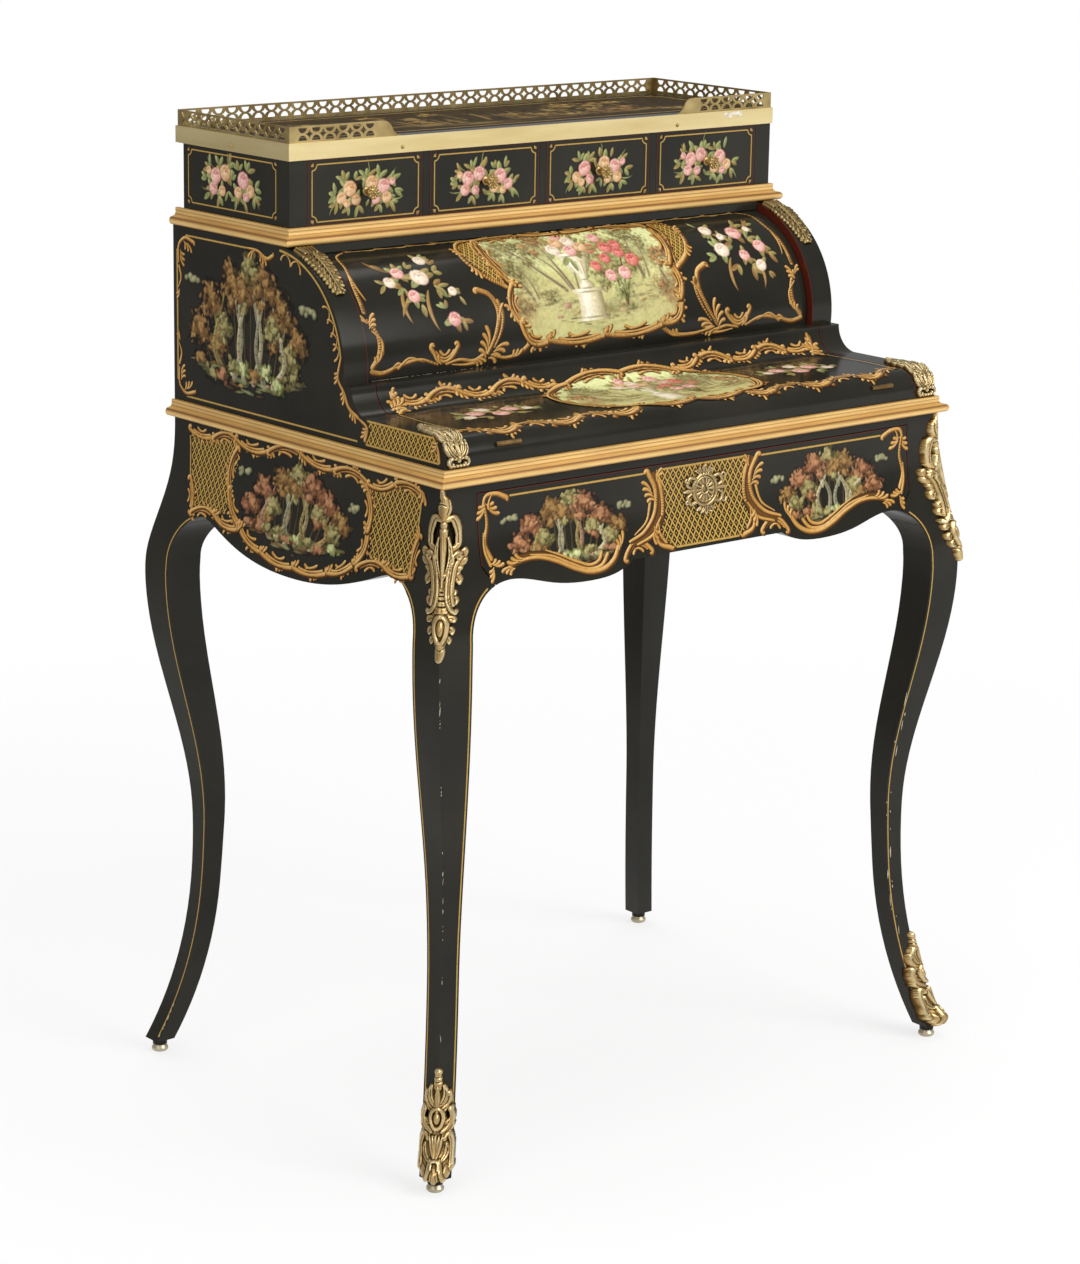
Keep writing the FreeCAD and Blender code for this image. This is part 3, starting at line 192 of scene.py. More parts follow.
# bands of the moulding by height: the light bands are painted highlights on the ridges, the dark and groove bands
# painted shade in the hollows
gilding = {"light": tone("ecca85"), "body": tone("d8ab60"), "dark": tone("a07239"), "groove": tone("7e5326"),
           "shadedBands": ((0.0, "body"), (0.05, "dark"), (0.09, "body"), (0.2, "light"), (0.32, "body"),
                       (0.38, "dark"), (0.45, "groove"), (0.5, "body"), (0.57, "body"), (0.61, "dark"),
                       (0.65, "body"), (0.74, "light"), (0.81, "body"), (0.84, "dark"), (0.88, "light"),
                       (1.0, "body"))}


def makeGilding(name, low, high):  # gilt wood banded by height: painted highlights along the ridges and painted shade in the hollows of its reeds, with darker worn streaks
    material, nodes, links, shader = startMaterial(name, 0.42, metallic=0.25)
    height = addMath(nodes, links, "DIVIDE",
                     addMath(nodes, links, "SUBTRACT", objectAxis(nodes, links, "Z"), low * mm),
                     (high - low) * mm)
    shadedBands = addRamp(nodes, links, height, [(at, gilding[look]) for at, look in gilding["shadedBands"]])
    streaks = addNoise(nodes, links, 60, detail=6, stretch=(0.25, 0.25, 3.0))
    worn = addRamp(nodes, links, streaks, [(0.42, (0, 0, 0)), (0.78, (1, 1, 1))])
    share = addMath(nodes, links, "MULTIPLY", worn, 0.4)
    links.new(addMix(nodes, links, share, shadedBands, gilding["dark"]), shader.inputs["Base Color"])
    addBump(nodes, links, shader, streaks, 0.15, 0.0006)
    return material


def makeBrass(name, light, dark, roughness, scale, stretch):
    material, nodes, links, shader = startMaterial(name, roughness, metallic=0.85)
    tarnish = addNoise(nodes, links, scale, detail=6, stretch=stretch)
    colour = addRamp(nodes, links, tarnish, [(0.3, light), (0.8, dark)])
    links.new(colour, shader.inputs["Base Color"])
    addBump(nodes, links, shader, addNoise(nodes, links, 4 * scale, stretch=stretch), 0.12, 0.0004)
    return material


# one gilt bronze in three tones: the brightest for the knee mounts and sabots, darker copies for the upper mounts,
# the lower mounts and the escutcheon
bronzeTones = {"bright": toneSet("2a1c0e", "765a30", "c6a46a", "fae8b6"),
               "dimmer": toneSet("1e160b", "4a3a1f", "8a7446", "cdb987"),
               "worn": toneSet("20160b", "5e4a29", "a98e5c", "eedfb4")}


def makeBronze(name, tones):  # chased gilt bronze coloured by its relief: painted shade darkens the hollows and painted highlight brightens the ridges
    material, nodes, links, shader = startMaterial(name, 0.33, metallic=0.9)
    relief = nodes.new("ShaderNodeAttribute")
    relief.attribute_name = "relief"
    colour = addRamp(nodes, links, relief.outputs["Fac"],
                     list(zip((0.0, 0.3, 0.53, 1.0), tones)))
    patina = addNoise(nodes, links, 90, detail=5)
    spots = addRamp(nodes, links, patina, [(0.5, (0, 0, 0)), (0.72, (1, 1, 1))])
    share = addMath(nodes, links, "MULTIPLY", spots, 0.4)
    links.new(addMix(nodes, links, share, colour, tone("7a6238")), shader.inputs["Base Color"])
    addBump(nodes, links, shader, addNoise(nodes, links, 420, detail=3), 0.15, 0.0004)
    return material


def makePaint(name, roughness, bend):  # painter's colours held as an attribute, under old varnish
    material, nodes, links, shader = startMaterial(name, roughness)
    shader.inputs["Specular IOR Level"].default_value = lacquer["sheen"]
    shader.inputs["IOR"].default_value = bend
    tint = nodes.new("ShaderNodeAttribute")
    tint.attribute_name = "tint"
    grain = addNoise(nodes, links, 260, detail=3)
    shade = addRamp(nodes, links, grain, [(0.3, (0.72, 0.7, 0.66)), (0.6, (1, 1, 1))])
    mix = nodes.new("ShaderNodeMix")
    mix.data_type = "RGBA"
    mix.blend_type = "MULTIPLY"
    mix.inputs[0].default_value = 0.6
    links.new(tint.outputs["Color"], mix.inputs[6])
    links.new(shade, mix.inputs[7])
    links.new(mix.outputs[2], shader.inputs["Base Color"])
    addBump(nodes, links, shader, grain, 0.12, 0.0003)
    return material


def makeWood(name, light, dark):
    material, nodes, links, shader = startMaterial(name, 0.5)
    grain = addNoise(nodes, links, 30, detail=8, stretch=(0.6, 0.6, 8.0), roughness=0.65)
    links.new(addRamp(nodes, links, grain, [(0.3, dark), (0.7, light)]), shader.inputs["Base Color"])
    addBump(nodes, links, shader, grain, 0.2, 0.0005)
    return material


def makeLeather(name):
    material, nodes, links, shader = startMaterial(name, 0.42)
    pores = nodes.new("ShaderNodeTexVoronoi")
    pores.inputs["Scale"].default_value = 700
    place = nodes.new("ShaderNodeTexCoord")
    links.new(place.outputs["Object"], pores.inputs["Vector"])
    wear = addNoise(nodes, links, 14, detail=6)
    links.new(addRamp(nodes, links, wear, [(0.3, tone("4a1512")), (0.75, tone("6b2620"))]),
              shader.inputs["Base Color"])
    addBump(nodes, links, shader, pores.outputs["Distance"], 0.25, 0.0004)
    return material


print("materials")
blackLacquer = makeLacquer("black_lacquer")
paintMaterial = makePaint("painted_gold_and_colour", 0.3, lacquer["bend"])
topMaterial = makePaint("tier_top_paint", 0.4, 1.1)
bandBrass = makeBrass("band_brass", tone("fae9b2"), tone("d8bf80"), 0.36, 12, (0.4, 0.4, 3.0))
fretBrass = makeBrass("fret_brass", tone("c9b27a"), tone("7c6434"), 0.34, 40, (1, 1, 1))
agedBrass = makeBrass("aged_brass", tone("8a6f42"), tone("4a3620"), 0.45, 60, (1, 1, 1))
glideMetal = makeBrass("glide_metal", tone("ddd3ba"), tone("a8966e"), 0.4, 60, (1, 1, 1))
mountBronze = makeBronze("mount_bronze", bronzeTones["bright"])
edgeBronze = makeBronze("edge_bronze", bronzeTones["dimmer"])
dimmedBronze = makeBronze("dimmed_bronze", bronzeTones["worn"])
ironGrey = makeBrass("lock_steel", tone("9a9890"), tone("5c5850"), 0.4, 30, (1, 1, 6))
drawerWood = makeWood("drawer_wood", tone("a9794a"), tone("6e4626"))
backWood = makeWood("back_wood", tone("4a3020"), tone("2a1a12"))
leather = makeLeather("writing_leather")


def dress(node, material):
    piece = frame["nodes"][node]
    piece.data.materials.clear()
    piece.data.materials.append(material)


def dressFrame():
    slotLooks = {"black_lacquer": blackLacquer, "brass": fretBrass, "gilt_bronze": mountBronze,
                 "steel": ironGrey, "drawer_wood": drawerWood, "leather": leather, "gilt_wood": fretBrass}
    for part in frame["record"]["subparts"]:
        dress(part["node"], slotLooks[part["material_slot"]])
    for node in ("waist_moulding", "cornice_moulding"):
        low, high = nodeBox(node)
        dress(node, makeGilding(node + "_gilding", low[2], high[2]))
    for node in ("hinge_bed_leaves", "hinge_flap_leaves", "hinge_pins"):
        dress(node, agedBrass)
    dress("foot_glides", glideMetal)
    dress("band_pins", fretBrass)
    dress("gallery_band", bandBrass)
    dress("back_panel", backWood)
    bareWood = 0.7  # how deep the bare wood at the ends of a drawer front shows
    for node in ["frieze_drawer_front"] + [f"tier_drawer_{i}_front" for i in range(1, 5)]:
        low, high = nodeBox(node)
        edges = [(axis, (low[k] + high[k]) / 2, (high[k] - low[k]) / 2 - bareWood)
                 for axis, k in (("X", 0), ("Z", 2))]
        if node == "frieze_drawer_front":
            edges[1] = ("Z", legTop / 2, high[2] - bareWood - legTop / 2)
        dress(node, makeLacquer(node + "_lacquer", edges))
    for node in ("case_side_left", "case_side_right"):
        low, high = nodeBox(node)
        outer = max(low[0], high[0], key=abs)
        dress(node, makeLacquer(node + "_lacquer", [("X", outer, high[0] - low[0] - bareWood)]))


dressFrame()


# Places on the desk where paint lies: each turns millimetres along and up a face into metres

legCurve = {"knee": 550, "ankle": 268, "swell": 24, "draw": 11, "kick": 28, "lag": 1.35, "power": 2.3,
            "kneeThick": 42, "ankleThick": 23, "slim": 0.75, "spring": 564, "arch": 55}


def ease(share):
    return (1 - np.cos(np.pi * np.clip(share, 0, 1))) / 2


def legOut(z):  # how far a leg stands out from the case at a height
    c = legCurve
    z = np.asarray(z, float)
    high = c["swell"] * ease(np.clip((legTop - z) / (legTop - c["knee"]), 0, 1) ** c["lag"])
    middle = c["swell"] - (c["swell"] + c["draw"]) * ease((c["knee"] - z) / (c["knee"] - c["ankle"]))
    fall = np.clip((c["ankle"] - z) / (c["ankle"] - footZ), 0, 2)
    low = (c["draw"] + c["kick"]) * fall ** c["power"] - c["draw"]
    return np.where(z >= c["knee"], high, np.where(z >= c["ankle"], middle, low))


def legIn(z):
    c = legCurve
    slim = c["ankle"] * c["slim"]
    share = ease((c["knee"] - np.asarray(z, float)) / (c["knee"] - slim))
    return legOut(z) - (c["kneeThick"] - (c["kneeThick"] - c["ankleThick"]) * share)


def onFront(u, v, lift):
    return np.stack([u, frontY - legOut(v) - lift, v], 1) * mm


def onSide(sign):  # u runs towards the front on both sides
    return lambda u, v, lift: np.stack([sign * (halfCase + lift), -u, v], 1) * mm


def onApron(sign):
    return lambda u, v, lift: np.stack([sign * (halfCase + legOut(v) + lift), -u, v], 1) * mm


def onTierSide(sign):
    return lambda u, v, lift: np.stack([sign * (halfTier + lift), -u, v], 1) * mm


def onTierFront(u, v, lift):
    return np.stack([u, tierFront - lift, v], 1) * mm


def onTop(u, v, lift):
    return np.stack([u, v, topFace + lift], 1) * mm


def alongProfile(points):  # a face that follows a profile in side view, given as (y, z) points
    path = np.array(points, float)
    step = np.diff(path, axis=0)
    run = np.concatenate([[0], np.cumsum(np.hypot(*step.T))])
    slope = np.gradient(path, axis=0)
    slope /= np.hypot(*slope.T)[:, None]

    def place(u, v, lift):
        y, z = (np.interp(v, run, path[:, k]) for k in (0, 1))
        ny, nz = (np.interp(v, run, side) for side in (-slope[:, 1], slope[:, 0]))
        return np.stack([u, y + ny * lift, z + nz * lift], 1) * mm
    place.length = run[-1]
    return place


def arcPoints(centre, radius, first, last, count):  # 0 degrees faces the front, 90 is up
    return [(centre[0] - radius * math.cos(math.radians(a)), centre[1] + radius * math.sin(math.radians(a)))
            for a in np.linspace(first, last, count)]


roundCentre = (frontY + frontRound, flapTop - frontRound)
roundSeam = math.degrees(math.asin((nodeBox("writing_bed")[1][2] - roundCentre[1]) / frontRound))
coveRadius = ledgeZ - flapTop
ledgeAngle = math.degrees(math.asin((ledgeZ - rollZ) / cylinderRadius))
onCylinder = alongProfile(arcPoints((rollY, rollZ), cylinderRadius, ledgeAngle, 79, 90))
coveArc = [(coveY + coveRadius * math.sin(a), ledgeZ - coveRadius * math.cos(a))
           for a in np.linspace(0, math.pi / 2, 24)]
onFlap = alongProfile(arcPoints(roundCentre, frontRound, roundSeam, 90, 24)
                      + [(y, flapTop) for y in np.linspace(frontY + frontRound + 2, coveY - 2, 40)]
                      + coveArc + [(flapBack - 1, ledgeZ)])


# Gold strokes: a canvas gathers shapes in millimetres, each laid a hair above the one before

paintLight = np.exp(2.3j)  # painted light comes from the upper left
pictureLift, goldLift = 0.12, 0.18  # the first coats lie this far above the lacquer


def startCanvas(name, body, place, step=0.0015, flip=False):
    return {"name": name, "body": body, "place": place, "lift": goldLift, "step": step, "flip": flip,
            "mirror": 1, "points": [], "lifts": [], "tints": [], "faces": []}


def addShape(canvas, points, tints, faces):
    base = len(canvas["points"])
    canvas["lift"] += canvas["step"]
    canvas["points"] += [complex(canvas["mirror"] * p.real, p.imag) for p in points]
    canvas["tints"] += list(tints)
    canvas["lifts"] += [canvas["lift"]] * len(points)
    canvas["faces"] += [[base + i for i in face[::canvas["mirror"]]] for face in faces]


def hangPaint(name, body, corners, faces, tints, material):
    mesh = bpy.data.meshes.new(name)
    mesh.from_pydata(corners.tolist(), [], faces)
    tint = mesh.attributes.new("tint", "FLOAT_COLOR", "POINT")
    solid = np.ones((len(tints), 4), np.float32)
    solid[:, :3] = tints
    tint.data.foreach_set("color", solid.ravel())
    mesh.materials.append(material)
    piece = bpy.data.objects.new(name, mesh)
    bpy.context.collection.objects.link(piece)
    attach(piece, body)


def finishCanvas(canvas):
    flat = np.array(canvas["points"])
    corners = canvas["place"](flat.real, flat.imag, np.array(canvas["lifts"]))
    faces = [face[::-1] for face in canvas["faces"]] if canvas["flip"] else canvas["faces"]
    hangPaint(canvas["name"], canvas["body"], corners, faces, canvas["tints"], paintMaterial)


def smooth(points, count):  # an even curve through a few complex points
    points = np.array(points, complex)
    at = np.concatenate([[0], np.cumsum(np.abs(np.diff(points)))])
    at = at / at[-1]
    slopes = np.gradient(points, at)
    fine = np.linspace(0, 1, count)
    k = np.clip(np.searchsorted(at, fine, side="right") - 1, 0, len(at) - 2)
    width = at[k + 1] - at[k]
    t = (fine - at[k]) / width
    a, b = points[k], points[k + 1]
    return ((2 * t ** 3 - 3 * t ** 2 + 1) * a + (t ** 3 - 2 * t ** 2 + t) * width * slopes[k]
            + (3 * t ** 2 - 2 * t ** 3) * b + (t ** 3 - t ** 2) * width * slopes[k + 1])


def acrossOf(path):  # unit steps to the left of a path
    along = np.gradient(path)
    return 1j * along / np.maximum(np.abs(along), 1e-9)


# tints lie across the stroke from left to right, or one for every point
def ribbon(canvas, path, widths, tints):
    path = np.asarray(path, complex)
    widths = np.broadcast_to(np.asarray(widths, float), path.shape)
    rows = len(path)
    columns = len(tints) if isinstance(tints, tuple) else len(tints) // rows
    shares = np.linspace(1, -1, columns)
    points = (path[:, None] + acrossOf(path)[:, None] * widths[:, None] / 2 * shares[None, :]).ravel()
    faces = [(r * columns + c, r * columns + c + 1, (r + 1) * columns + c + 1, (r + 1) * columns + c)
             for r in range(rows - 1) for c in range(columns - 1)]
    addShape(canvas, points, list(tints) * rows if isinstance(tints, tuple) else tints, faces)


def dab(canvas, centre, long, wide, turn, inner, outer, sides, wobble, rng=random):
    turns = np.linspace(0, 2 * np.pi, sides, endpoint=False)
    reach = np.array([1 + rng.uniform(-wobble, wobble) for _ in turns])
    rim = centre + (long * np.cos(turns) + 1j * wide * np.sin(turns)) * reach * np.exp(1j * turn)
    addShape(canvas, [centre, *rim], [inner] + [outer] * sides,
             [(0, i + 1, (i + 1) % sides + 1) for i in range(sides)])


def mixTone(first, second, share):
    return tuple(a + (b - a) * share for a, b in zip(first, second))


def shadeTone(colour, factor):
    return tuple(min(c * factor, 1) for c in colour)


gold = {"level": (-1.0, -0.4, 0.02, 0.36, 0.66),
        "tone": np.array(toneSet("2a1707", "65401a", "a2712f", "cc9d55", "e8c388")),
        "crown": 0.28, "fall": 0.62, "flank": 0.85,
        "line": toneSet("987835", "c5a057", "987835"), "columns": 7,
        "shade": tuple(mixTone(tone("6b451a"), tone("3a230c"), abs(k)) for k in np.linspace(-1, 1, 11))}


def rampTones(level, look):  # what a look's tones come to at each level
    return np.stack([np.interp(level, look["level"], look["tone"][:, k]) for k in range(3)], -1)


# painted as if it stood in relief: lit on one flank, brown on the other
def goldStroke(canvas, path, widths):
    light = complex(canvas["mirror"] * paintLight.real, paintLight.imag)
    lit = (acrossOf(path) * np.conj(light)).real
    shares = np.linspace(1, -1, gold["columns"])
    level = gold["crown"] - gold["fall"] * shares ** 2 + gold["flank"] * shares * lit[:, None]
    ribbon(canvas, path, widths, [tuple(t) for t in rampTones(level, gold).reshape(-1, 3)])


def goldLine(canvas, path, width):
    ribbon(canvas, path, width, gold["line"])


def commaWidths(width, t):  # thin where it starts, round at its head
    head = np.sqrt(np.clip(1 - np.clip((t - 0.78) / 0.22, 0, 1) ** 2, 0.004, 1))
    return width * (0.2 + 0.8 * t ** 0.75) * head


def comma(canvas, base, heading, length, turn, width, hold=1.3):  # sets off one way and curls through a turn
    t = np.linspace(0, 1, 14)
    steps = length / 13 * np.exp(1j * (heading + turn * t[1:] ** hold))
    goldStroke(canvas, np.concatenate([[base], base + np.cumsum(steps)]), commaWidths(0.95 * width, t))


def pathLength(path):
    return np.concatenate([[0], np.cumsum(np.abs(np.diff(path)))])


def brush(canvas, path, width, tail):  # swells from its tail to a round head
    run = pathLength(path)
    at = run[-1] * (1 - (1 - np.linspace(0, 1, len(path) + 8)) ** 1.5)
    path = np.interp(at, run, path)
    share = at / run[-1]
    cap = np.clip((run[-1] - at) / (0.55 * width), 0, 1)
    profile = width * (tail + (1 - tail) * share ** 0.75) * np.sqrt(np.clip(1 - (1 - cap) ** 2, 0.003, 1))
    if width > 4.4:  # a brown edge away from the light
        light = complex(canvas["mirror"] * paintLight.real, paintLight.imag)
        ribbon(canvas, path - 0.22 * width * light, profile, gold["shade"])
    goldStroke(canvas, path, 1.05 * profile)


def sweep(canvas, points, count, width, tail=0.2):
    brush(canvas, smooth(points, count), width, tail)


def arc(start, end, bulge, count=24):  # bulge to the left of the way from start to end
    t = np.linspace(0, 1, count)
    return start + (end - start) * (t + 4j * bulge * t * (1 - t))


def curled(path, side, radius, roll=4.0):  # a path whose end rolls up to one side
    heading = np.angle(path[-1] - path[-2])
    t = np.linspace(0, 1, 14)[1:]
    steps = radius * roll / 13 * (1 - 0.65 * t) * np.exp(1j * (heading + side * roll * t))
    return np.concatenate([path, path[-1] + np.cumsum(steps)])


# a C of strands, the inner ones end in round heads
def cScroll(canvas, start, end, bulge, width, radius, share=0.5):
    path = arc(start, end, bulge)
    middle = int(23 * share)
    side = -1 if bulge > 0 else 1
    inward = 1j * side * width * (end - start) / abs(end - start)
    swell = np.sin(np.linspace(0, np.pi, 24))
    ribbon(canvas, path + 0.45 * inward * swell, 1.8 * width * swell + 0.4, gold["shade"])
    for depth, first, last in ((1.2, 7, 17), (0.62, 3, 21)):
        inner = path + depth * inward * swell
        for half in (inner[first:middle + 3][::-1], inner[middle - 2:last]):
            drop = 0.7 * depth * inward * np.linspace(0, 1, len(half)) ** 3
            brush(canvas, half + drop, 0.72 * width, 0.3)
    for half, turn in ((path[max(middle - 4, 0):], side), (path[:middle + 5][::-1], -side)):
        brush(canvas, curled(half, turn, radius) if radius else half, width, 0.45)


# a comma that leaves a scroll along its way and curls off
def peel(canvas, path, at, side, length, turn, width):
    k = min(max(int(at * (len(path) - 1)), 1), len(path) - 2)
    comma(canvas, path[k], np.angle(path[k + 1] - path[k - 1]), length, side * turn, width, 2.2)


# acanthus edge: commas stepped back along a stem
def bunch(canvas, base, heading, length, width, side, count):
    for k in reversed(range(count)):
        start = base - 0.22 * length * k * np.exp(1j * heading)
        comma(canvas, start, heading + side * (0.1 + 0.12 * k), length * (0.95 - 0.1 * k),
              side * (0.9 + 0.25 * k), 1.12 * width)


def scrollRun(canvas, stops, width, size, rng, side=1):  # stops: point, bulge, point, bulge ... point
    points, bulges = stops[::2], stops[1::2]
    for start, bulge, end in zip(points[:-1], bulges, points[1:]):
        path = arc(start, end, bulge)
        out = 1 if bulge > 0 else -1
        for k, share in enumerate((0.55, 0.8, 0.9, 0.75)):  # close commas on the back of the scroll
            peel(canvas, path, 0.3 + 1.15 * k * width / abs(end - start), out, size * share,
                 rng.uniform(1.0, 1.3), width)
        peel(canvas, path[::-1], 0.3, -out, 1.1 * size, rng.uniform(1.2, 1.6), width)
        radius = size * 0.2 if abs(end - start) > 2.2 * size else 0
        cScroll(canvas, start, end, bulge, 1.1 * width, radius, rng.uniform(0.42, 0.58))
        bunch(canvas, path[-1], np.angle(path[-1] - path[-4]) + 0.25 * side, size, width, side, 3)


def lobed(stops):  # the outline that a closed scroll run follows
    points, bulges = stops[::2], stops[1::2]
    ends = points[1:] if len(points) > len(bulges) else points[1:] + points[:1]
    return np.concatenate([arc(a, b, k, 16)[:-1] for a, k, b in zip(points, bulges, ends)])


def insideSpans(origin, direction, outline):  # stretches of a line that lie inside an outline
    hits = []
    normal = 1j * direction
    for a, b in zip(outline, np.roll(outline, -1)):
        da = ((a - origin) * np.conj(normal)).real
        db = ((b - origin) * np.conj(normal)).real
        if (da > 0) != (db > 0):
            hits.append(((a + (b - a) * da / (da - db) - origin) * np.conj(direction)).real)
    hits.sort()
    return list(zip(hits[::2], hits[1::2]))


trellis = {"slant": 1.0, "line": 1.7, "dot": 0.95, "dark": tone("a27d35"), "light": tone("cda852")}


def paintTrellis(canvas, outline, pitch):
    dot, dark, light = (trellis[part] for part in ("dot", "dark", "light"))
    outline = np.asarray(outline, complex)
    middle = outline.mean()
    reach = np.abs(outline - middle).max()
    coat, canvas["step"] = canvas["step"], 0
    for lean in (trellis["slant"], np.pi - trellis["slant"]):
        canvas["lift"] += 2 * coat
        direction = np.exp(1j * lean)
        for k in range(int(-reach // pitch), int(reach // pitch) + 1):
            origin = middle + 1j * direction * k * pitch
            for first, last in insideSpans(origin, direction, outline):
                ends = origin + direction * np.linspace(first, last, 5)
                ribbon(canvas, ends, trellis["line"], (dark, light, dark))
    canvas["lift"] += 2 * coat
    across = pitch / np.sin(trellis["slant"])
    up = pitch / np.cos(trellis["slant"])
    for i in range(int(-reach // across) - 1, int(reach // across) + 2):
        for j in range(int(-reach // up) - 1, int(reach // up) + 2):
            for shift in (0, 0.5):
                spot = middle + (i + shift) * across + 1j * (j + shift + 0.5) * up
                if any(first < 0 < last for first, last in insideSpans(spot, 1, outline)):
                    dab(canvas, spot, dot, dot, 0, dark, light, 4, 0)
    canvas["step"] = coat


# Pictures: soft paint on a fine grid of points, each touch blended over the last

pictureGround = tone("14120e")


def startPicture(left, right, low, high, cell):  # cell: the spacing of the grid
    grid = np.arange(left, right + cell, cell)[None, :] + 1j * np.arange(low, high + cell, cell)[:, None]
    grain = np.random.default_rng(5).normal(size=grid.shape)
    for axis in (0, 1, 0, 1):
        grain = (grain + np.roll(grain, 1, axis) + np.roll(grain, -1, axis)) / 3
    return {"grid": grid, "cell": cell, "grain": grain / np.abs(grain).max(), "cover": np.zeros(grid.shape),
            "colour": np.tile(np.array(pictureGround), grid.shape + (1,))}


def windowOf(field, centre, reach):  # rows and columns of a picture or a relief around a spot
    corner, cell, shape = field["grid"][0, 0], field["cell"], field["grid"].shape
    spans = []
    for middle, count in ((centre.imag - corner.imag, shape[0]), (centre.real - corner.real, shape[1])):
        first = min(max(int((middle - reach) / cell), 0), count)
        last = min(max(int((middle + reach) / cell) + 2, 0), count)
        spans.append(slice(first, last))
    return tuple(spans)


def shownQuads(shown):  # the grid points in use and the squares between them
    rows, columns = np.nonzero(shown[:-1, :-1] | shown[1:, :-1] | shown[:-1, 1:] | shown[1:, 1:])
    wide = shown.shape[1]
    corner = rows * wide + columns
    quads = np.stack([corner, corner + 1, corner + wide + 1, corner + wide], 1)
    used, quads = np.unique(quads, return_inverse=True)
    return used, quads.reshape(-1, 4)


def blend(picture, window, paint, share):
    colour, cover = picture["colour"][window], picture["cover"][window]
    colour += (paint - colour) * share[..., None]
    cover += share * (1 - cover)


def lay(picture, centre, long, wide, turn, light, dark, strength, soft, pointed=False, rag=0.0):
    window = windowOf(picture, centre, max(long, wide) * (1 + rag) + picture["cell"])
    away = picture["grid"][window] - centre
    if away.size == 0:
        return
    own = away * np.exp(-1j * turn)
    a, b = own.real / long, np.abs(own.imag) / wide
    reach = np.maximum(np.abs(a), b / np.maximum(1 - a * a, 0.05)) if pointed else np.hypot(a, b)
    reach = reach + rag * picture["grain"][window]
    soft = min(max(soft, 0.8 * picture["cell"] / min(long, wide)), 1)
    paint = np.asarray(light)
    if dark is not None:
        lit = np.clip(0.5 + 0.6 * (away * np.conj(paintLight)).real / max(long, wide), 0, 1)[..., None]
        paint = np.asarray(dark) + (paint - np.asarray(dark)) * lit
    blend(picture, window, paint, strength * np.clip((1 - reach) / soft, 0, 1))


def drag(picture, path, widths, light, dark, strength=1.0, soft=0.5):  # a loaded brush drawn along a path
    widths = np.broadcast_to(np.asarray(widths, float), path.shape)
    run = pathLength(path)
    count = max(int(run[-1] / max(0.3 * widths.mean(), 0.4)), 3)
    at = np.linspace(0, run[-1], count)
    heading = np.angle(np.gradient(path))
    for x, y, w, turn in zip(*(np.interp(at, run, k) for k in (path.real, path.imag, widths, heading))):
        lay(picture, complex(x, y), 0.7 * w, 0.5 * w, turn, light, dark, strength, soft)


def finishPicture(picture, name, body, place, flip=False, material=paintMaterial):
    used, quads = shownQuads(picture["cover"] > 0.015)
    flat = picture["grid"].ravel()[used]
    corners = place(flat.real, flat.imag, np.full(len(flat), pictureLift))
    faces = (quads[:, ::-1] if flip else quads).tolist()
    hangPaint(name, body, corners, faces, picture["colour"].reshape(-1, 3)[used], material)


print("painting")


# Flowers, trees and stones, in layouts of their own

roseTones = {
    "pink": toneSet("fbdccf", "db857a", "8c3c3b"),
    "cream": toneSet("fdf3e2", "e6cbae", "97724f"),
    "peach": toneSet("f8ddb4", "d7985f", "824b26"),
    "red": toneSet("f0a190", "c24a44", "74221f"),
}
leafTones = {
    "green": toneSet("bcbf7c", "444c24"),
    "olive": toneSet("c0ac6a", "5c4f26"),
    "bronze": toneSet("b89256", "573c1b"),
}
foliageTones = {  # dark, body, light
    "russet": toneSet("3a2413", "875636", "c59066"),
    "olive": toneSet("2f2a16", "766b3c", "b8ae74"),
    "green": toneSet("3a4220", "93995a", "dbe0a2"),
    "brown": toneSet("33210f", "7c5a30", "b48d52"),
    "park": toneSet("463a1e", "7b6e40", "b4aa6e"),
    "autumn": toneSet("573619", "93683e", "c89d68"),
    "grass": toneSet("8f8a52", "b9b87a", "e2e4ac"),
    "gilt": toneSet("4a3716", "8d713a", "bea05c"),
}
pearl = toneSet("eadbab", "cfa968", "dcc690", "dcaa8c", "c4bd98", "c6b06c")


rosePetals = {  # turn, length and width: open petals round the rose and the folded front of its cup
    "outer": ((1.5, 0.42, 0.28), (2.5, 0.46, 0.32), (0.5, 0.46, 0.32), (3.5, 0.52, 0.36), (5.9, 0.52, 0.36),
              (4.2, 0.5, 0.36), (5.1, 0.5, 0.36)),
    "cup": ((3.9, 0.34, 0.22), (5.5, 0.34, 0.22), (4.7, 0.46, 0.26)),
}


def rose(picture, centre, size, kind, rng):
    light, body, dark = roseTones[kind]
    tilt = rng.uniform(-0.6, 0.6)
    face = size * np.exp(1j * tilt)
    lay(picture, centre, size, size * 0.9, tilt, body, dark, 1, 0.22, rag=0.14)
    for turn, long, wide in rosePetals["outer"]:
        turn += rng.uniform(-0.15, 0.15)
        lay(picture, centre + 0.58 * face * np.exp(1j * turn), size * long, size * wide,
            turn + tilt + math.pi / 2, mixTone(light, body, rng.uniform(0, 0.35)), mixTone(body, dark, 0.5),
            0.95, 0.35)
    cup = centre + (0.02+0.12j) * face
    lay(picture, cup, size * 0.54, size * 0.48, tilt, mixTone(body, dark, 0.4), mixTone(body, dark, 0.7),
        0.95, 0.35)
    lay(picture, cup + 0.18j * face, size * 0.34, size * 0.2, tilt, mixTone(light, body, 0.5), body, 0.9, 0.5)
    lay(picture, cup + 0.05j * face, size * 0.2, size * 0.12, tilt, mixTone(body, dark, 0.8), None, 0.7, 0.7)
    for turn, long, wide in rosePetals["cup"]:
        lay(picture, cup + 0.26 * face * np.exp(1j * turn), size * long, size * wide,
            turn + tilt + math.pi / 2, light, mixTone(light, body, 0.8), 0.95, 0.4)


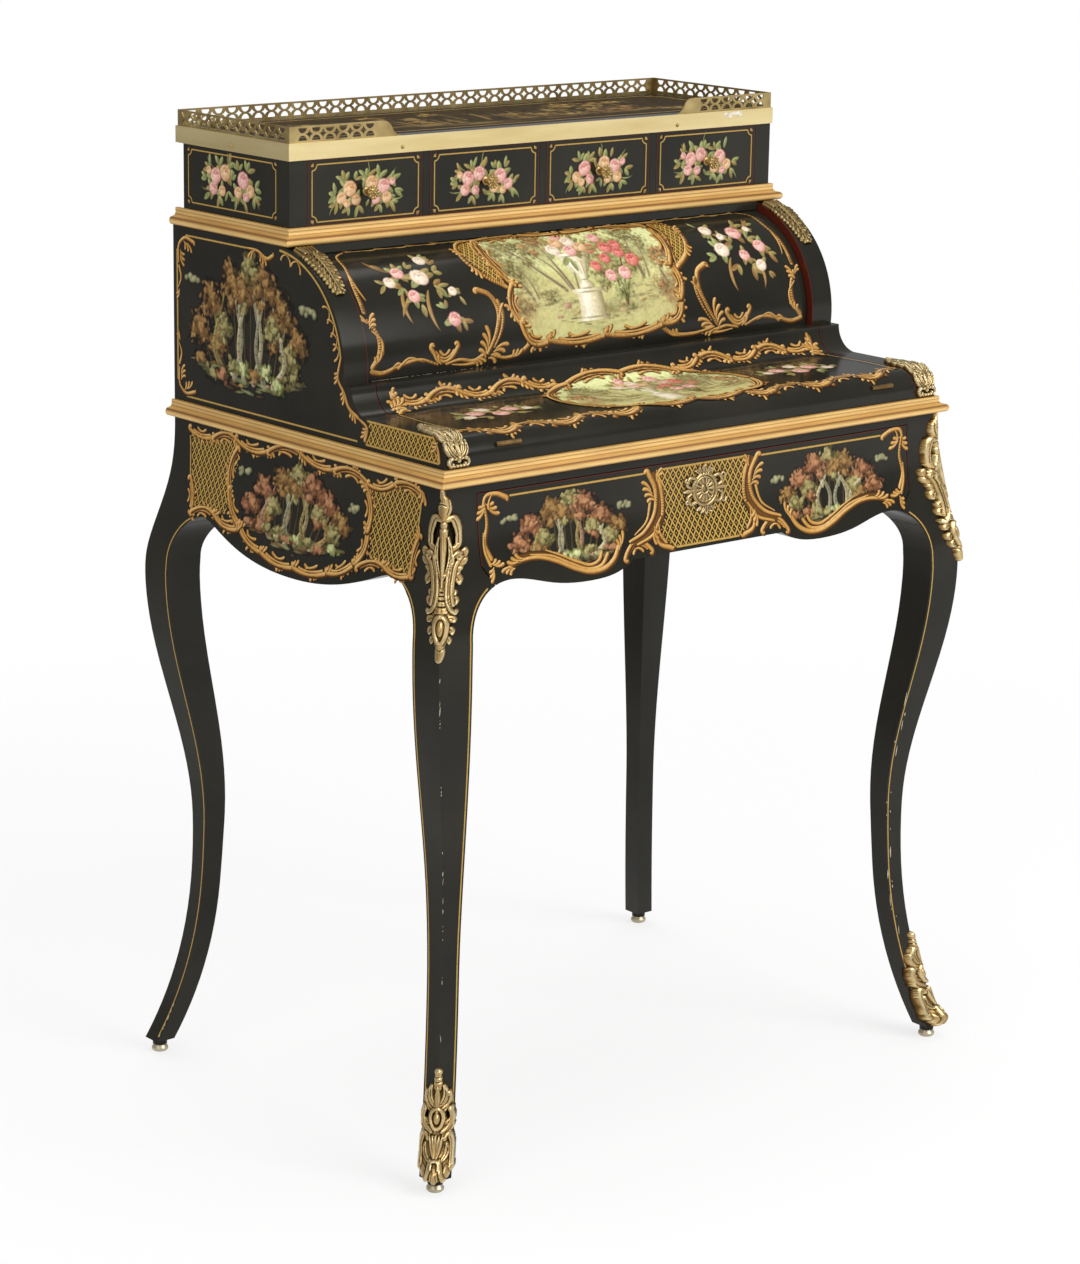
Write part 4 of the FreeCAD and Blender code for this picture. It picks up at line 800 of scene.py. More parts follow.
def leafTouch(picture, base, tip, width, kind):
    light, dark = leafTones[kind]
    middle, long, turn = (base + tip) / 2, abs(tip - base) / 2, np.angle(tip - base)
    lay(picture, middle, long, width / 2, turn, light, mixTone(light, dark, 0.8), 1, 0.3, pointed=True)
    lay(picture, middle - 0.16j * width * np.exp(1j * turn), long * 0.9, width * 0.22, turn, dark, None,
        0.6, 0.8, pointed=True)


def stem(picture, start, heading, length, curve, width, kind):
    light, dark = leafTones[kind]
    t = np.linspace(0, 1, 14)
    path = start + np.cumsum(length / 14 * np.exp(1j * (heading + 2 * curve * t)))
    drag(picture, path, width * np.sin(np.pi * (0.14 + 0.82 * t)), light, dark, soft=0.4)


def bouquet(picture, centre, blooms, leaves, rng, kinds):
    # blooms: (across, up, size, colour); leaves: (across, up, heading, length)
    for across, up, size, kind in blooms:
        base = centre + complex(across, up)
        for k in range(4):
            tip = base + 1.75 * size * np.exp(1j * rng.uniform(0, 2 * math.pi))
            leafTouch(picture, base, tip, size * 0.8, rng.choice(kinds))
    for across, up, heading, length in leaves:
        base = centre + complex(across, up)
        for turn in rng.choice(((0.0,), (-0.5, 0.4), (-0.9, 0.8, 0.0), (-0.8, 0.1))):
            reach = length * rng.uniform(0.8, 1.25)
            tip = base + reach * np.exp(1j * (heading + turn + rng.uniform(-0.25, 0.25)))
            leafTouch(picture, base, tip, length * rng.uniform(0.36, 0.5), rng.choice(kinds))
    for across, up, size, kind in blooms:
        rose(picture, centre + complex(across, up), size, kind, rng)


def trunk(picture, base, top, width, lean, light, dark, rng, marks=0, strength=1.0):
    path = smooth([base, (base + top) / 2 + lean, top], 16)
    drag(picture, path, width * np.linspace(1, 0.55, 16), light, dark, strength, 0.4)
    for k in range(marks):
        spot = path[1 + 2 * k] + width * rng.uniform(-0.15, 0.15)
        lay(picture, spot, width * 0.36, width * 0.1, rng.uniform(-0.5, 0.5), shadeTone(dark, 0.5),
            None, 0.85, 0.5)


def foliage(picture, centre, wide, tall, kind, rng, count, touch, strength=0.9):  # three coats, dark to light
    tones = foliageTones[kind]
    lay(picture, centre, wide * 0.95, tall * 0.95, 0, tones[0], None, 0.65 * strength, 0.9, rag=0.6)
    for level, (share, spread, rise) in enumerate(((0.4, 1.0, 0.0), (0.36, 0.9, 0.08), (0.24, 0.75, 0.22))):
        for k in range(int(count * share)):
            turn, reach = rng.uniform(0, 2 * math.pi), min(abs(rng.gauss(0, 0.52)), 1.15) * spread
            spot = centre + complex(wide * (reach * math.cos(turn) - 0.06 * level),
                                    tall * (reach * math.sin(turn) + rise))
            colour = mixTone(tones[level], tones[1], rng.uniform(0, 0.6))
            size = touch * rng.uniform(0.6, 1.35)
            lay(picture, spot, size, size * rng.uniform(0.45, 0.75), rng.uniform(0, 3.1),
                shadeTone(colour, 1.15), shadeTone(colour, 0.72), strength, 0.5, rag=0.25)


def stone(picture, centre, size, rng):
    base = rng.choice(pearl)
    for k in range(3):
        spot = centre + size * complex(rng.uniform(-0.6, 0.6), rng.uniform(-0.15, 0.15))
        lay(picture, spot, size * rng.uniform(0.6, 1), size * rng.uniform(0.3, 0.5), rng.uniform(-0.4, 0.4),
            base, shadeTone(base, 0.25), 0.9, 0.35, rag=0.5)


def groundStrokes(picture, left, right, level, depth, rng, count=70, kinds=("olive", "green", "brown"),
                  strength=0.8):
    for k in range(count):
        across = rng.uniform(-1, 1)
        spot = complex((left + right + (right - left) * across) / 2,
                       level - depth * rng.random() * (1.1 - abs(across)))
        dark, body, light = foliageTones[rng.choice(kinds)]
        colour = mixTone(mixTone(dark, body, rng.random()), light, 0.5 * rng.random())
        length = (right - left) * rng.uniform(0.03, 0.1) * (1 - 0.5 * abs(across))
        lay(picture, spot, length, length * rng.uniform(0.1, 0.22), rng.uniform(-0.15, 0.15), colour,
            shadeTone(colour, 0.6), strength, 0.7, rag=0.35)


def cloud(picture, centre, size, rng):
    for k in range(9):
        spot = centre + complex(rng.uniform(-1, 1) * size, rng.uniform(-0.25, 0.35) * size)
        lay(picture, spot, size * rng.uniform(0.32, 0.5), size * rng.uniform(0.28, 0.4), 0, tone("d3d09e"),
            tone("4a4a2e"), 0.7, 0.55)


groveTrees = (
    (0.1, 0.42, 0.1, "russet"), (0.2, 0.62, 0.11, "russet"), (0.3, 0.46, 0.08, "olive"),
    (0.37, 0.76, 0.11, "brown"), (0.52, 0.85, 0.11, "olive"), (0.64, 0.78, 0.12, "russet"),
    (0.77, 0.62, 0.12, "russet"), (0.9, 0.46, 0.09, "brown"), (0.84, 0.34, 0.08, "olive"),
    (0.46, 0.7, 0.09, "brown"), (0.7, 0.5, 0.08, "olive"), (0.24, 0.34, 0.07, "brown"))
groveBirches = ((0.3, 0.5, -0.03), (0.38, 0.62, 0.02), (0.46, 0.54, -0.015), (0.54, 0.62, 0.02),
                (0.62, 0.56, -0.02), (0.7, 0.46, 0.03))


# autumn trees, pale birches and stones on a bank
def grove(picture, left, right, low, high, rng, turn=1, rust="russet"):
    wide, tall = right - left, high - low
    touch = 0.014 * wide + 0.8

    def spotAt(at, up):
        return complex(left + wide * (at if turn > 0 else 1 - at), low + tall * up)
    for at, up in ((0.02, 0.74), (0.98, 0.68)):
        cloud(picture, spotAt(at, up), wide * 0.055, rng)
    for at, up, size, kind in groveTrees:
        trunk(picture, spotAt(0.5 + 0.75 * (at - 0.5), 0.2), spotAt(at, up), wide * 0.018, 0, tone("6d5a34"),
              tone("241c0f"), rng)
    birches = []
    for at, up, lean in groveBirches:
        colour = rng.choice(pearl)
        foot, top = spotAt(at, 0.15), spotAt(at + 2 * lean, up)
        for spread in (-0.06, 0.06):
            trunk(picture, top - 0.06j * tall, top + complex(spread * wide, 0.2 * tall), wide * 0.02, 0,
                  colour, shadeTone(colour, 0.22), rng)
        birches.append((foot, top, 2 * lean * wide, colour))
    for at, up, size, kind in groveTrees:
        kind = rust if kind == "russet" else kind
        for across, rise, share in ((-0.75, -0.25, 0.7), (0.7, -0.3, 0.7), (-0.2, 0.45, 0.75),
                                    (0.15, 0.0, 1.0)):
            foliage(picture, spotAt(at, up) + complex(across * size * wide * 0.6, rise * size * tall * 1.2),
                    wide * size * 0.85 * share, tall * size * 1.15 * share, kind, rng, 54, touch)
    for foot, top, lean, colour in birches:
        trunk(picture, foot, top, wide * 0.044, lean, colour, shadeTone(colour, 0.2), rng, 7)
    for at, up, kind in ((0.36, 0.62, "brown"), (0.6, 0.64, rust), (0.47, 0.6, "olive"), (0.28, 0.4, "olive"),
                         (0.7, 0.4, rust)):
        foliage(picture, spotAt(at, up), wide * 0.05, tall * 0.06, kind, rng, 26, touch)
    groundStrokes(picture, left + wide * 0.04, right - wide * 0.04, low + tall * 0.22, tall * 0.2, rng)
    for at in (0.1, 0.2, 0.28, 0.37, 0.46, 0.55, 0.64, 0.74, 0.86):
        kind = rng.choice((rust, "russet", "olive", "green"))
        foliage(picture, spotAt(at, rng.uniform(0.13, 0.23)), wide * 0.07, tall * 0.06, kind, rng, 40, touch)
    for at in (0.36, 0.44, 0.53, 0.66):
        stone(picture, spotAt(at, rng.uniform(0.1, 0.17)), wide * 0.02, rng)


def insideOutline(grid, outline):
    inside = np.zeros(grid.shape, bool)
    for a, b in zip(outline, np.roll(outline, -1)):
        crosses = (a.imag > grid.imag) != (b.imag > grid.imag)
        edge = a.real + (grid.imag - a.imag) * (b.real - a.real) / ((b.imag - a.imag) or 1e-9)
        inside ^= crosses & (grid.real < edge)
    return inside


meadow = {"level": (0.0, 0.2, 0.42, 0.6, 1.0),
          "tone": np.array(toneSet("cfcc8c", "c9c184", "c6bf80", "d8d998", "dfe3a4"))}
urnSections = ((0, 0.2), (0.03, 0.2), (0.031, 0.165), (0.27, 0.155), (0.271, 0.2), (0.31, 0.2), (0.311, 0.1),
               (0.35, 0.09), (0.4, 0.045), (0.45, 0.06), (0.55, 0.15), (0.64, 0.19), (0.68, 0.18),
               (0.681, 0.22), (0.71, 0.22))
urnStone = {"level": (-1.0, -0.4, 0.35, 1.0),
            "tone": np.array(toneSet("cfc49a", "f8f1dc", "d6caa2", "82764c"))}


def stoneUrn(picture, foot, size, rng):
    groundStrokes(picture, foot.real - 0.45 * size, foot.real + 0.5 * size, foot.imag + 0.04 * size,
                  0.09 * size, rng, 30, ("park",))
    window = windowOf(picture, foot + 0.5j * size, 0.6 * size)
    away = (picture["grid"][window] - foot) / size
    half = np.interp(away.imag, *np.array(urnSections).T, left=0, right=0)
    across = away.real / np.maximum(half, 1e-3)
    paint = rampTones(across, urnStone) * (1 + 0.12 * picture["grain"][window])[..., None]
    blend(picture, window, paint, np.clip((half - np.abs(away.real)) * size / picture["cell"], 0, 1))
    shade = tone("877a50")
    for level, reach in ((0.03, 0.17), (0.275, 0.16), (0.312, 0.1), (0.4, 0.05), (0.675, 0.18)):
        lay(picture, foot + 1j * level * size, reach * size, 0.012 * size, 0, shade, None, 0.8, 0.6)
    for k in (-2, -1, 0, 1, 2):
        flute = complex(0.035 * k, 0.15) * size * np.linspace(0, 1, 5)
        drag(picture, foot + complex(0.03 * k, 0.46) * size + flute, 0.014 * size, shade, None, 0.5)
    top = foot + 0.76j * size
    leaves = [(a * size, b * size, h, 0.17 * size) for a, b, h in
              ((-0.16, -0.02, 3.2), (0.17, -0.02, -0.1), (-0.12, 0.1, 2.4), (0.12, 0.1, 0.8), (0, 0.18, 1.6),
               (-0.05, -0.08, -2.0))]
    blooms = [(a * size, b * size, s * size, kind) for a, b, s, kind in
              ((-0.17, 0.02, 0.09, "cream"), (0.17, 0.03, 0.08, "peach"), (0.02, -0.01, 0.085, "pink"),
               (-0.07, 0.12, 0.085, "peach"), (0.08, 0.12, 0.09, "cream"), (0.0, 0.22, 0.07, "pink"))]
    bouquet(picture, top, blooms, leaves, rng, ("green", "olive"))


def roseBush(picture, foot, size, rng):
    tips = (-0.3+0.86j, -0.04+1.05j, 0.24+0.88j, 0.38+0.6j, -0.36+0.56j)
    for tip in tips:
        drag(picture, smooth([foot, foot + (0.35 * tip + 0.12j) * size, foot + tip * size], 14), 0.03 * size,
             tone("8a7440"), tone("4a3a1e"))
    for spot in (0.5j, -0.2+0.66j, 0.18+0.68j, 0.9j, 0.26+0.46j, -0.26+0.42j, 0.2j):
        foliage(picture, foot + spot * size, 0.22 * size, 0.2 * size, rng.choice(("green", "park", "park")),
                rng, 36, 0.035 * size, 0.8)
    blooms = [(tip.real * 0.8 * size, tip.imag * 0.94 * size, rng.uniform(0.085, 0.115) * size,
               rng.choice(("red", "red", "pink")))
              for tip in tips + (-0.12+0.66j, 0.12+0.42j, 0.2+0.74j, -0.16+0.4j, 0.02+0.84j)]
    bouquet(picture, foot, blooms, [], rng, ("green", "olive"))


def parkView(picture, outline, rng, plan):  # a pale park with a stone urn and a rose bush
    grid = picture["grid"]
    low, left = outline.imag.min(), outline.real.min()
    tall, wide = outline.imag.max() - low, outline.real.max() - left
    up = (grid.imag - low) / tall + 0.06 * picture["grain"] + 0.05 * np.sin(0.06 * grid.real + 1)
    picture["colour"][:] = rampTones(up, meadow)

    def spotAt(at, up):
        return complex(left + wide * at, low + tall * up)
    for at, up, long, high, kind, strength in plan["washes"]:
        for k in range(5):
            spot = spotAt(at + rng.uniform(-0.4, 0.4) * long, up + rng.uniform(-0.4, 0.4) * high)
            lay(picture, spot, wide * long, tall * high, 0, foliageTones[kind][1], None,
                0.3 * strength, 1, rag=0.6)
    for footAt, footUp, crownAt, crownUp, size, kind in plan["trees"]:
        foot, crown = spotAt(footAt, footUp), spotAt(crownAt, crownUp)
        for n in (0, 1):
            trunk(picture, foot + n * 0.03 * wide, crown + complex(n * 0.06 * wide, 0.02 * n * tall),
                  wide * (0.024 - 0.008 * n), rng.uniform(-0.03, 0.03) * wide, tone("ddd0a6"), tone("5a4424"),
                  rng, 3, 0.95)
        for across, rise, share in ((-0.8, -0.2, 0.75), (0.75, -0.25, 0.75), (-0.35, 0.45, 0.9),
                                    (0.4, 0.4, 0.85), (0, 0, 1.0), (-0.5, -0.7, 0.5), (0.55, -0.75, 0.5)):
            foliage(picture, crown + complex(across * size * wide * 0.7, rise * size * wide * 0.7),
                    wide * size * 0.5 * share, wide * size * 0.42 * share, kind, rng, 64, 2.0, 0.85)
    groundStrokes(picture, left + wide * 0.02, left + wide * 0.98, low + tall * 0.42, tall * 0.36, rng, 110,
                  ("grass", "park", "grass"), 0.55)
    groundStrokes(picture, left + wide * 0.1, left + wide * 0.9, low + tall * 0.34, tall * 0.2, rng, 40,
                  ("park", "autumn"), 0.6)
    for at, up, size in plan["bushes"]:
        foliage(picture, spotAt(at, up), wide * size, wide * size * 0.6, rng.choice(("park", "autumn")),
                rng, 60, 2.0, 0.7)
    for at, up, size in plan["stones"]:
        stone(picture, spotAt(at, up), wide * size, rng)
    roseBush(picture, spotAt(*plan["bush"][:2]), tall * plan["bush"][2], rng)
    stoneUrn(picture, spotAt(*plan["urn"][:2]), tall * plan["urn"][2], rng)
    picture["cover"][:] = insideOutline(grid, outline)


# Cylinder front

cylinderPaint = {
    "canvas": (-108, 138, 10, 160, 0.85),
    "cartouche": [-106+152j, -0.14, -99+82j, -0.24, -101+38j, -0.3, -64+18j, -0.07, 14+17j, -0.07, 96+21j,
                  -0.3, 124+46j, -0.16, 124+86j, -0.14, 128+148j, -0.04, 60+154j, 0.05, 8+150j,
                  0.05, -50+155j, -0.03],
    "view": {
        "washes": ((0.14, 0.62, 0.14, 0.22, "park", 1), (0.32, 0.78, 0.16, 0.16, "park", 0.9),
                   (0.5, 0.5, 0.22, 0.1, "grass", 1), (0.84, 0.66, 0.12, 0.18, "park", 0.8),
                   (0.92, 0.32, 0.08, 0.16, "autumn", 1.6), (0.08, 0.3, 0.08, 0.14, "autumn", 1.4),
                   (0.5, 0.22, 0.26, 0.06, "park", 1), (0.05, 0.8, 0.06, 0.12, "autumn", 1)),
        "trees": ((0.33, 0.4, 0.14, 0.8, 0.15, "park"), (0.37, 0.4, 0.31, 0.86, 0.13, "autumn"),
                  (0.14, 0.36, 0.06, 0.6, 0.1, "park"), (0.78, 0.44, 0.8, 0.82, 0.13, "park"),
                  (0.9, 0.38, 0.93, 0.6, 0.09, "autumn")),
        "bushes": ((0.24, 0.36, 0.07), (0.86, 0.34, 0.08), (0.08, 0.3, 0.06), (0.56, 0.4, 0.05)),
        "stones": ((0.3, 0.27, 0.03), (0.36, 0.22, 0.022), (0.62, 0.2, 0.024), (0.26, 0.2, 0.018),
                   (0.74, 0.26, 0.02)),
        "urn": (0.45, 0.15, 0.78), "bush": (0.65, 0.24, 0.62)},
    "bouquets": {
        "left": {
            "spot": -218+96j, "canvas": (-285, -150, 20, 150, 0.7),
            "stems": ((-236+92j, -2.3, 44, 0.65), (-206+88j, -2.2, 50, 0.6), (-240+112j, 2.8, 34, -0.35),
                      (-232+80j, -2.6, 28, 0.3)),
            "blooms": [(-16, 15, 9, "pink"), (8, 7, 12, "cream"), (-32, 4, 8, "cream"), (22, 30, 8, "cream"),
                       (-10, -15, 8.5, "pink"), (40, -14, 6, "cream"), (32, -44, 9, "pink")],
            "leaves": [(-30, 22, 2.3, 14), (-2, 20, 1.2, 13), (28, 12, 0.2, 15), (30, 22, 0.9, 12),
                       (-38, 2, 3.3, 13), (-4, -24, -1.4, 15), (24, -6, -0.9, 15), (26, -32, 2.2, 12),
                       (42, -46, -0.3, 12), (46, -20, -0.9, 12), (-18, -4, 3.8, 12), (20, -4, 0.1, 14)]},
        "right": {
            "spot": 228+94j, "canvas": (170, 292, 20, 150, 0.7),
            "stems": ((214+86j, -2.3, 44, 0.6), (242+82j, -0.8, 40, -0.6), (250+118j, 0.5, 30, 0.4)),
            "blooms": [(-26, 32, 9, "cream"), (-12, 20, 6, "cream"), (10, 24, 11, "pink"),
                       (32, 28, 5, "cream"), (-22, 2, 11, "cream"), (6, -8, 8, "pink"), (34, 2, 9.5, "pink"),
                       (24, -22, 8, "cream")],
            "leaves": [(-34, 38, 2.2, 11), (18, 34, 1.1, 14), (-34, -6, 3.6, 14), (-8, -18, -1.8, 15),
                       (10, -22, -1.0, 15), (42, -8, -0.4, 14), (-2, 10, 2.4, 13), (22, 12, 0.4, 15),
                       (36, 34, 0.6, 11), (32, -30, -0.9, 12)]}},
}


# trellis and scrolls beside the cartouche, which reaches further on the right
def cylinderSleeve(canvas, out):
    def path(points, count):
        return smooth([point - out for point in points], count)
    bunch(canvas, -146 - out + 22j, 1.2, 22, 5.8, 1, 4)
    bunch(canvas, -138 - out + 16j, 0.7, 20, 5.6, -1, 4)
    divider = path([-149+12j, -135+34j, -128+56j, -133+73j, -146+80j], 24)
    brush(canvas, curled(divider, 1, 3.6, 2.8), 6.6, 0.5)
    brush(canvas, path([-140+18j, -128+36j, -123+54j, -126+68j], 14), 4.6, 0.3)
    comma(canvas, -129 - out + 44j, 1.4, 22, -0.7, 4.4)
    sweep(canvas, [-142 - out + 10j, -124 - out / 2 + 6j, -104+10j, -84+24j], 18, 5.6, 0.4)
    bunch(canvas, -112+6j, 0.1, 14, 4.8, 1, 3)
    paintTrellis(canvas, path([-113+151j, -129+146j, -137+124j, -127+99j, -110+84j, -114+104j, -120+128j,
                               -113+151j], 50)[:-1], 5.2)
    brush(canvas, path([-104+155j, -131+149j, -141+124j, -130+97j, -106+79j], 26), 6.2, 0.5)
    brush(canvas, path([-108+82j, -112+104j, -118+128j, -112+150j], 20), 4.8, 0.4)
    bunch(canvas, -134 - out + 106j, -1.0, 15, 4.6, -1, 3)
    bunch(canvas, -138 - out + 132j, 1.9, 13, 4.4, 1, 3)


def cylinderBorder(canvas):
    sweep(canvas, [-272+156j, -286+148j, -290+126j, -296+98j, -297+68j], 24, 4.8, 0.35)
    comma(canvas, -289+82j, 1.9, 34, -0.5, 4.6)
    sweep(canvas, [-297+62j, -287+44j, -288+26j, -299+11j], 18, 6.2, 0.5)
    sweep(canvas, [-294+50j, -283+38j, -284+24j], 12, 4.2, 0.3)
    bunch(canvas, -294+58j, 1.3, 14, 4.8, -1, 3)
    bunch(canvas, -298+60j, 1.9, 11, 4.2, 1, 2)
    bunch(canvas, -290+18j, 0.6, 13, 4.2, 1, 3)
    sweep(canvas, [-214+8j, -236+15j, -262+12j, -286+6j, -301+9j], 24, 5.4, 0.4)
    sweep(canvas, [-232+12j, -250+18j, -266+8j], 10, 3.6)
    bunch(canvas, -272+10j, 0.9, 11, 4, -1, 2)
    cScroll(canvas, -222+25j, -187+24j, -0.42, 5.6, 2.6)
    bunch(canvas, -212+9j, 2.6, 13, 4.2, -1, 2)
    sweep(canvas, [-204+7j, -186+10j, -166+7j, -150+14j], 18, 5.2, 0.4)
    sweep(canvas, [-196+6j, -176+4j, -160+5j], 12, 4, 0.3)
    bunch(canvas, -162+8j, 0.2, 13, 4.4, -1, 3)
    cylinderSleeve(canvas, 24 if canvas["mirror"] < 0 else 0)
    goldLine(canvas, smooth([-270+156j, -200+155.5j, -112+156.5j], 20), 1.4)
    for at in (-246, -206, -166, -134):
        comma(canvas, at + 156j, 3.3, 26, -0.7, 3.4)
        comma(canvas, at + 155j, -0.3, 18, 0.9, 3.2)


def paintCylinder():
    p = cylinderPaint
    rng = random.Random(7)
    outline = lobed(p["cartouche"])
    view = startPicture(*p["canvas"])
    parkView(view, outline, rng, p["view"])
    finishPicture(view, "cylinder_view", "cylinder", onCylinder)
    for side, part in p["bouquets"].items():
        picture = startPicture(*part["canvas"])
        for base, heading, length, curve in part["stems"]:
            stem(picture, base, heading, length, curve, 5.2, "bronze")
        bouquet(picture, part["spot"], part["blooms"], part["leaves"], rng,
                ("olive", "bronze", "olive", "green"))
        finishPicture(picture, "cylinder_bouquet_" + side, "cylinder", onCylinder)
    gilt = startCanvas("cylinder_gilding", "cylinder", onCylinder, step=0.0012)
    for gilt["mirror"] in (1, -1):
        cylinderBorder(gilt)
    gilt["mirror"] = 1
    scrollRun(gilt, p["cartouche"] + p["cartouche"][:1], 5.4, 14, rng, 1)
    finishCanvas(gilt)
    print("cylinder painted, gold to", round(gilt["lift"], 2), "mm")


paintCylinder()


# Writing flap

flapPaint = {
    "canvas": (-146, 154, 12, 152, 0.85),
    "cartouche": [-120+84j, -0.22, -66+28j, -0.12, 4+22j, -0.12, 76+26j, -0.22, 134+80j, -0.22, 84+138j, -0.1,
                  8+146j, -0.1, -70+140j, -0.22],
    "view": {
        "washes": ((0.2, 0.6, 0.14, 0.16, "park", 1), (0.8, 0.62, 0.14, 0.16, "park", 1),
                   (0.5, 0.62, 0.2, 0.1, "grass", 1), (0.9, 0.4, 0.08, 0.14, "autumn", 1),
                   (0.1, 0.4, 0.08, 0.14, "autumn", 1)),
        "trees": ((0.28, 0.4, 0.22, 0.74, 0.13, "park"), (0.16, 0.4, 0.12, 0.58, 0.08, "autumn"),
                  (0.76, 0.42, 0.8, 0.74, 0.12, "park"), (0.86, 0.4, 0.9, 0.56, 0.07, "autumn")),
        "bushes": ((0.2, 0.36, 0.06), (0.84, 0.36, 0.06), (0.34, 0.4, 0.05)),
        "stones": ((0.38, 0.26, 0.03), (0.3, 0.24, 0.02), (0.64, 0.22, 0.024), (0.7, 0.28, 0.018)),
        "urn": (0.46, 0.14, 0.74), "bush": (0.63, 0.22, 0.62)},
    "blooms": ((-24, 4, 11, "pink"), (0, -8, 11, "pink"), (22, 6, 11, "pink"), (-6, 16, 9, "cream"),
               (-40, -8, 8, "cream"), (40, 0, 7, "cream")),
    "leaves": ((-34, 10, 2.6, 15), (12, 16, 1.0, 15), (34, 10, 0.3, 15), (-18, -14, 4.0, 15),
               (16, -12, -0.7, 15), (-46, -4, 3.2, 12), (46, -2, 0.0, 12)),
}


def flapBorder(canvas, rng):
    scrollRun(canvas, [-300+30j, 0.2, -272+17j, -0.2, -232+22j, 0.16, -192+15j, -0.16, -150+22j, 0.16,
                       -112+15j, -0.14, -74+20j], 5.2, 14, rng)
    scrollRun(canvas, [-296+128j, -0.25, -290+150j, -0.16, -248+146j, 0.16, -206+150j, -0.16, -166+144j, 0.16,
                       -120+150j, -0.16, -84+142j], 5.4, 14, rng, -1)
    for heading, side in ((0.9, -1), (2.2, 1), (0.2, 1)):
        bunch(canvas, -288+142j, heading, 15, 5.2, side, 4)
    goldLine(canvas, smooth([-299+32j, -302+70j, -298+128j], 16), 1.6)


def paintFlap():
    p = flapPaint
    rng = random.Random(11)
    view = startPicture(*p["canvas"])
    parkView(view, lobed(p["cartouche"]), rng, p["view"])
    finishPicture(view, "flap_view", "flap", onFlap)
    for name, middle, turn in (("left", -208+84j, 1), ("right", 208+84j, -1)):
        picture = startPicture(middle.real - 72, middle.real + 72, 40, 128, 0.9)
        blooms = [(turn * a, b, s, kind) for a, b, s, kind in p["blooms"]]
        leaves = [(turn * a, b, h if turn > 0 else math.pi - h, n) for a, b, h, n in p["leaves"]]
        bouquet(picture, middle, blooms, leaves, rng, ("olive", "green"))
        finishPicture(picture, "flap_bouquet_" + name, "flap", onFlap)
    gilt = startCanvas("flap_gilding", "flap", onFlap)
    for gilt["mirror"] in (1, -1):
        flapBorder(gilt, rng)
    gilt["mirror"] = 1
    scrollRun(gilt, p["cartouche"] + p["cartouche"][:1], 5.2, 14, rng, 1)
    finishCanvas(gilt)
    print("flap painted, gold to", round(gilt["lift"], 2), "mm")


paintFlap()


# Frieze drawer front

drawerPaint = {
    "trellis": [-66+702j, 66+702j, 57+688j, 53+672j, 54+656j, 61+642j, 61+630j, 50+622j, -50+622j, -61+630j,
                -61+642j, -54+656j, -53+672j, -57+688j],
    "course": [-274+627j, -252+634j, -226+635j, -202+628j, -180+618j, -158+612j, -140+614j, -127+622j,
               -120+633j],  # the long scroll under each picture
    "past": 646,  # how low a picture reaches past the inner end of that scroll
    "pictures": (("left", -262, 1), ("right", 104, -1)),  # side, left edge, way the grove is turned
    "wide": 158, "low": 616, "high": 698,
}


def drawerBorder(canvas):
    # upper corner
    brush(canvas, curled(smooth([-292+690j, -288+703j, -274+704j, -262+699j], 16), -1, 2.4, 2.6), 5.8, 0.5)
    bunch(canvas, -284+690j, -0.9, 16, 5.2, 1, 3)
    bunch(canvas, -290+690j, -1.9, 15, 5, -1, 3)
    comma(canvas, -280+704j, -2.3, 16, 1.0, 4.6)
    sweep(canvas, [-290+696j, -287+676j, -291+656j, -284+640j], 18, 5.4, 0.4)
    sweep(canvas, [-292+668j, -292+650j, -286+634j], 12, 4.4, 0.3)
    bunch(canvas, -281+634j, -0.4, 13, 4.8, 1, 3)  # lower corner
    bunch(canvas, -283+628j, -1.6, 12, 4.8, -1, 3)
    lower = smooth(drawerPaint["course"], 48)
    ribbon(canvas, lower[6:40] + 3.2j, 7.4, gold["shade"])
    sweep(canvas, [-216+641j, -196+633j, -176+624j, -158+619j, -147+623j, -143+631j], 26, 4.4, 0.3)
    sweep(canvas, [-236+639j, -208+634j, -184+623j, -162+615j, -145+617j, -135+628j], 30, 4.8, 0.35)
    brush(canvas, curled(lower, 1, 2.6, 2.4), 5.8, 0.5)
    bunch(canvas, -252+634j, 3.5, 16, 5, -1, 3)
    bunch(canvas, -262+630j, 2.9, 13, 4.6, 1, 3)
    cScroll(canvas, -114+619j, -77+623j, 0.34, 5.4, 2.4)
    bunch(canvas, -116+634j, 0.9, 15, 4.8, 1, 3)
    outer = smooth([-106+634j, -84+642j, -68+660j, -66+682j, -76+701j], 28)  # frame beside the trellis
    inner = smooth([-96+630j, -72+638j, -58+656j, -57+676j, -64+700j], 28)
    ribbon(canvas, (outer + inner) / 2, 10, gold["shade"])
    brush(canvas, curled(outer, 1, 3.0, 3.0), 6.2, 0.5)
    brush(canvas, inner, 5.6, 0.45)
    sweep(canvas, [-98+640j, -80+652j, -73+672j], 14, 4, 0.3)
    bunch(canvas, -72+682j, 2.0, 18, 5, 1, 4)
    bunch(canvas, -64+694j, 1.4, 13, 4.4, -1, 2)
    foot = smooth([-60+654j, -68+642j, -66+628j, -50+621j], 20)
    ribbon(canvas, foot + 2, 7, gold["shade"])
    brush(canvas, curled(foot, 1, 2.4, 2.4), 5.6, 0.4)
    sweep(canvas, [-64+648j, -63+636j, -56+627j], 12, 4.2, 0.3)
    bunch(canvas, -72+640j, -1.9, 14, 4.6, 1, 3)
    goldLine(canvas, np.linspace(-258+700.5j, -82+700.5j, 12), 2.2)


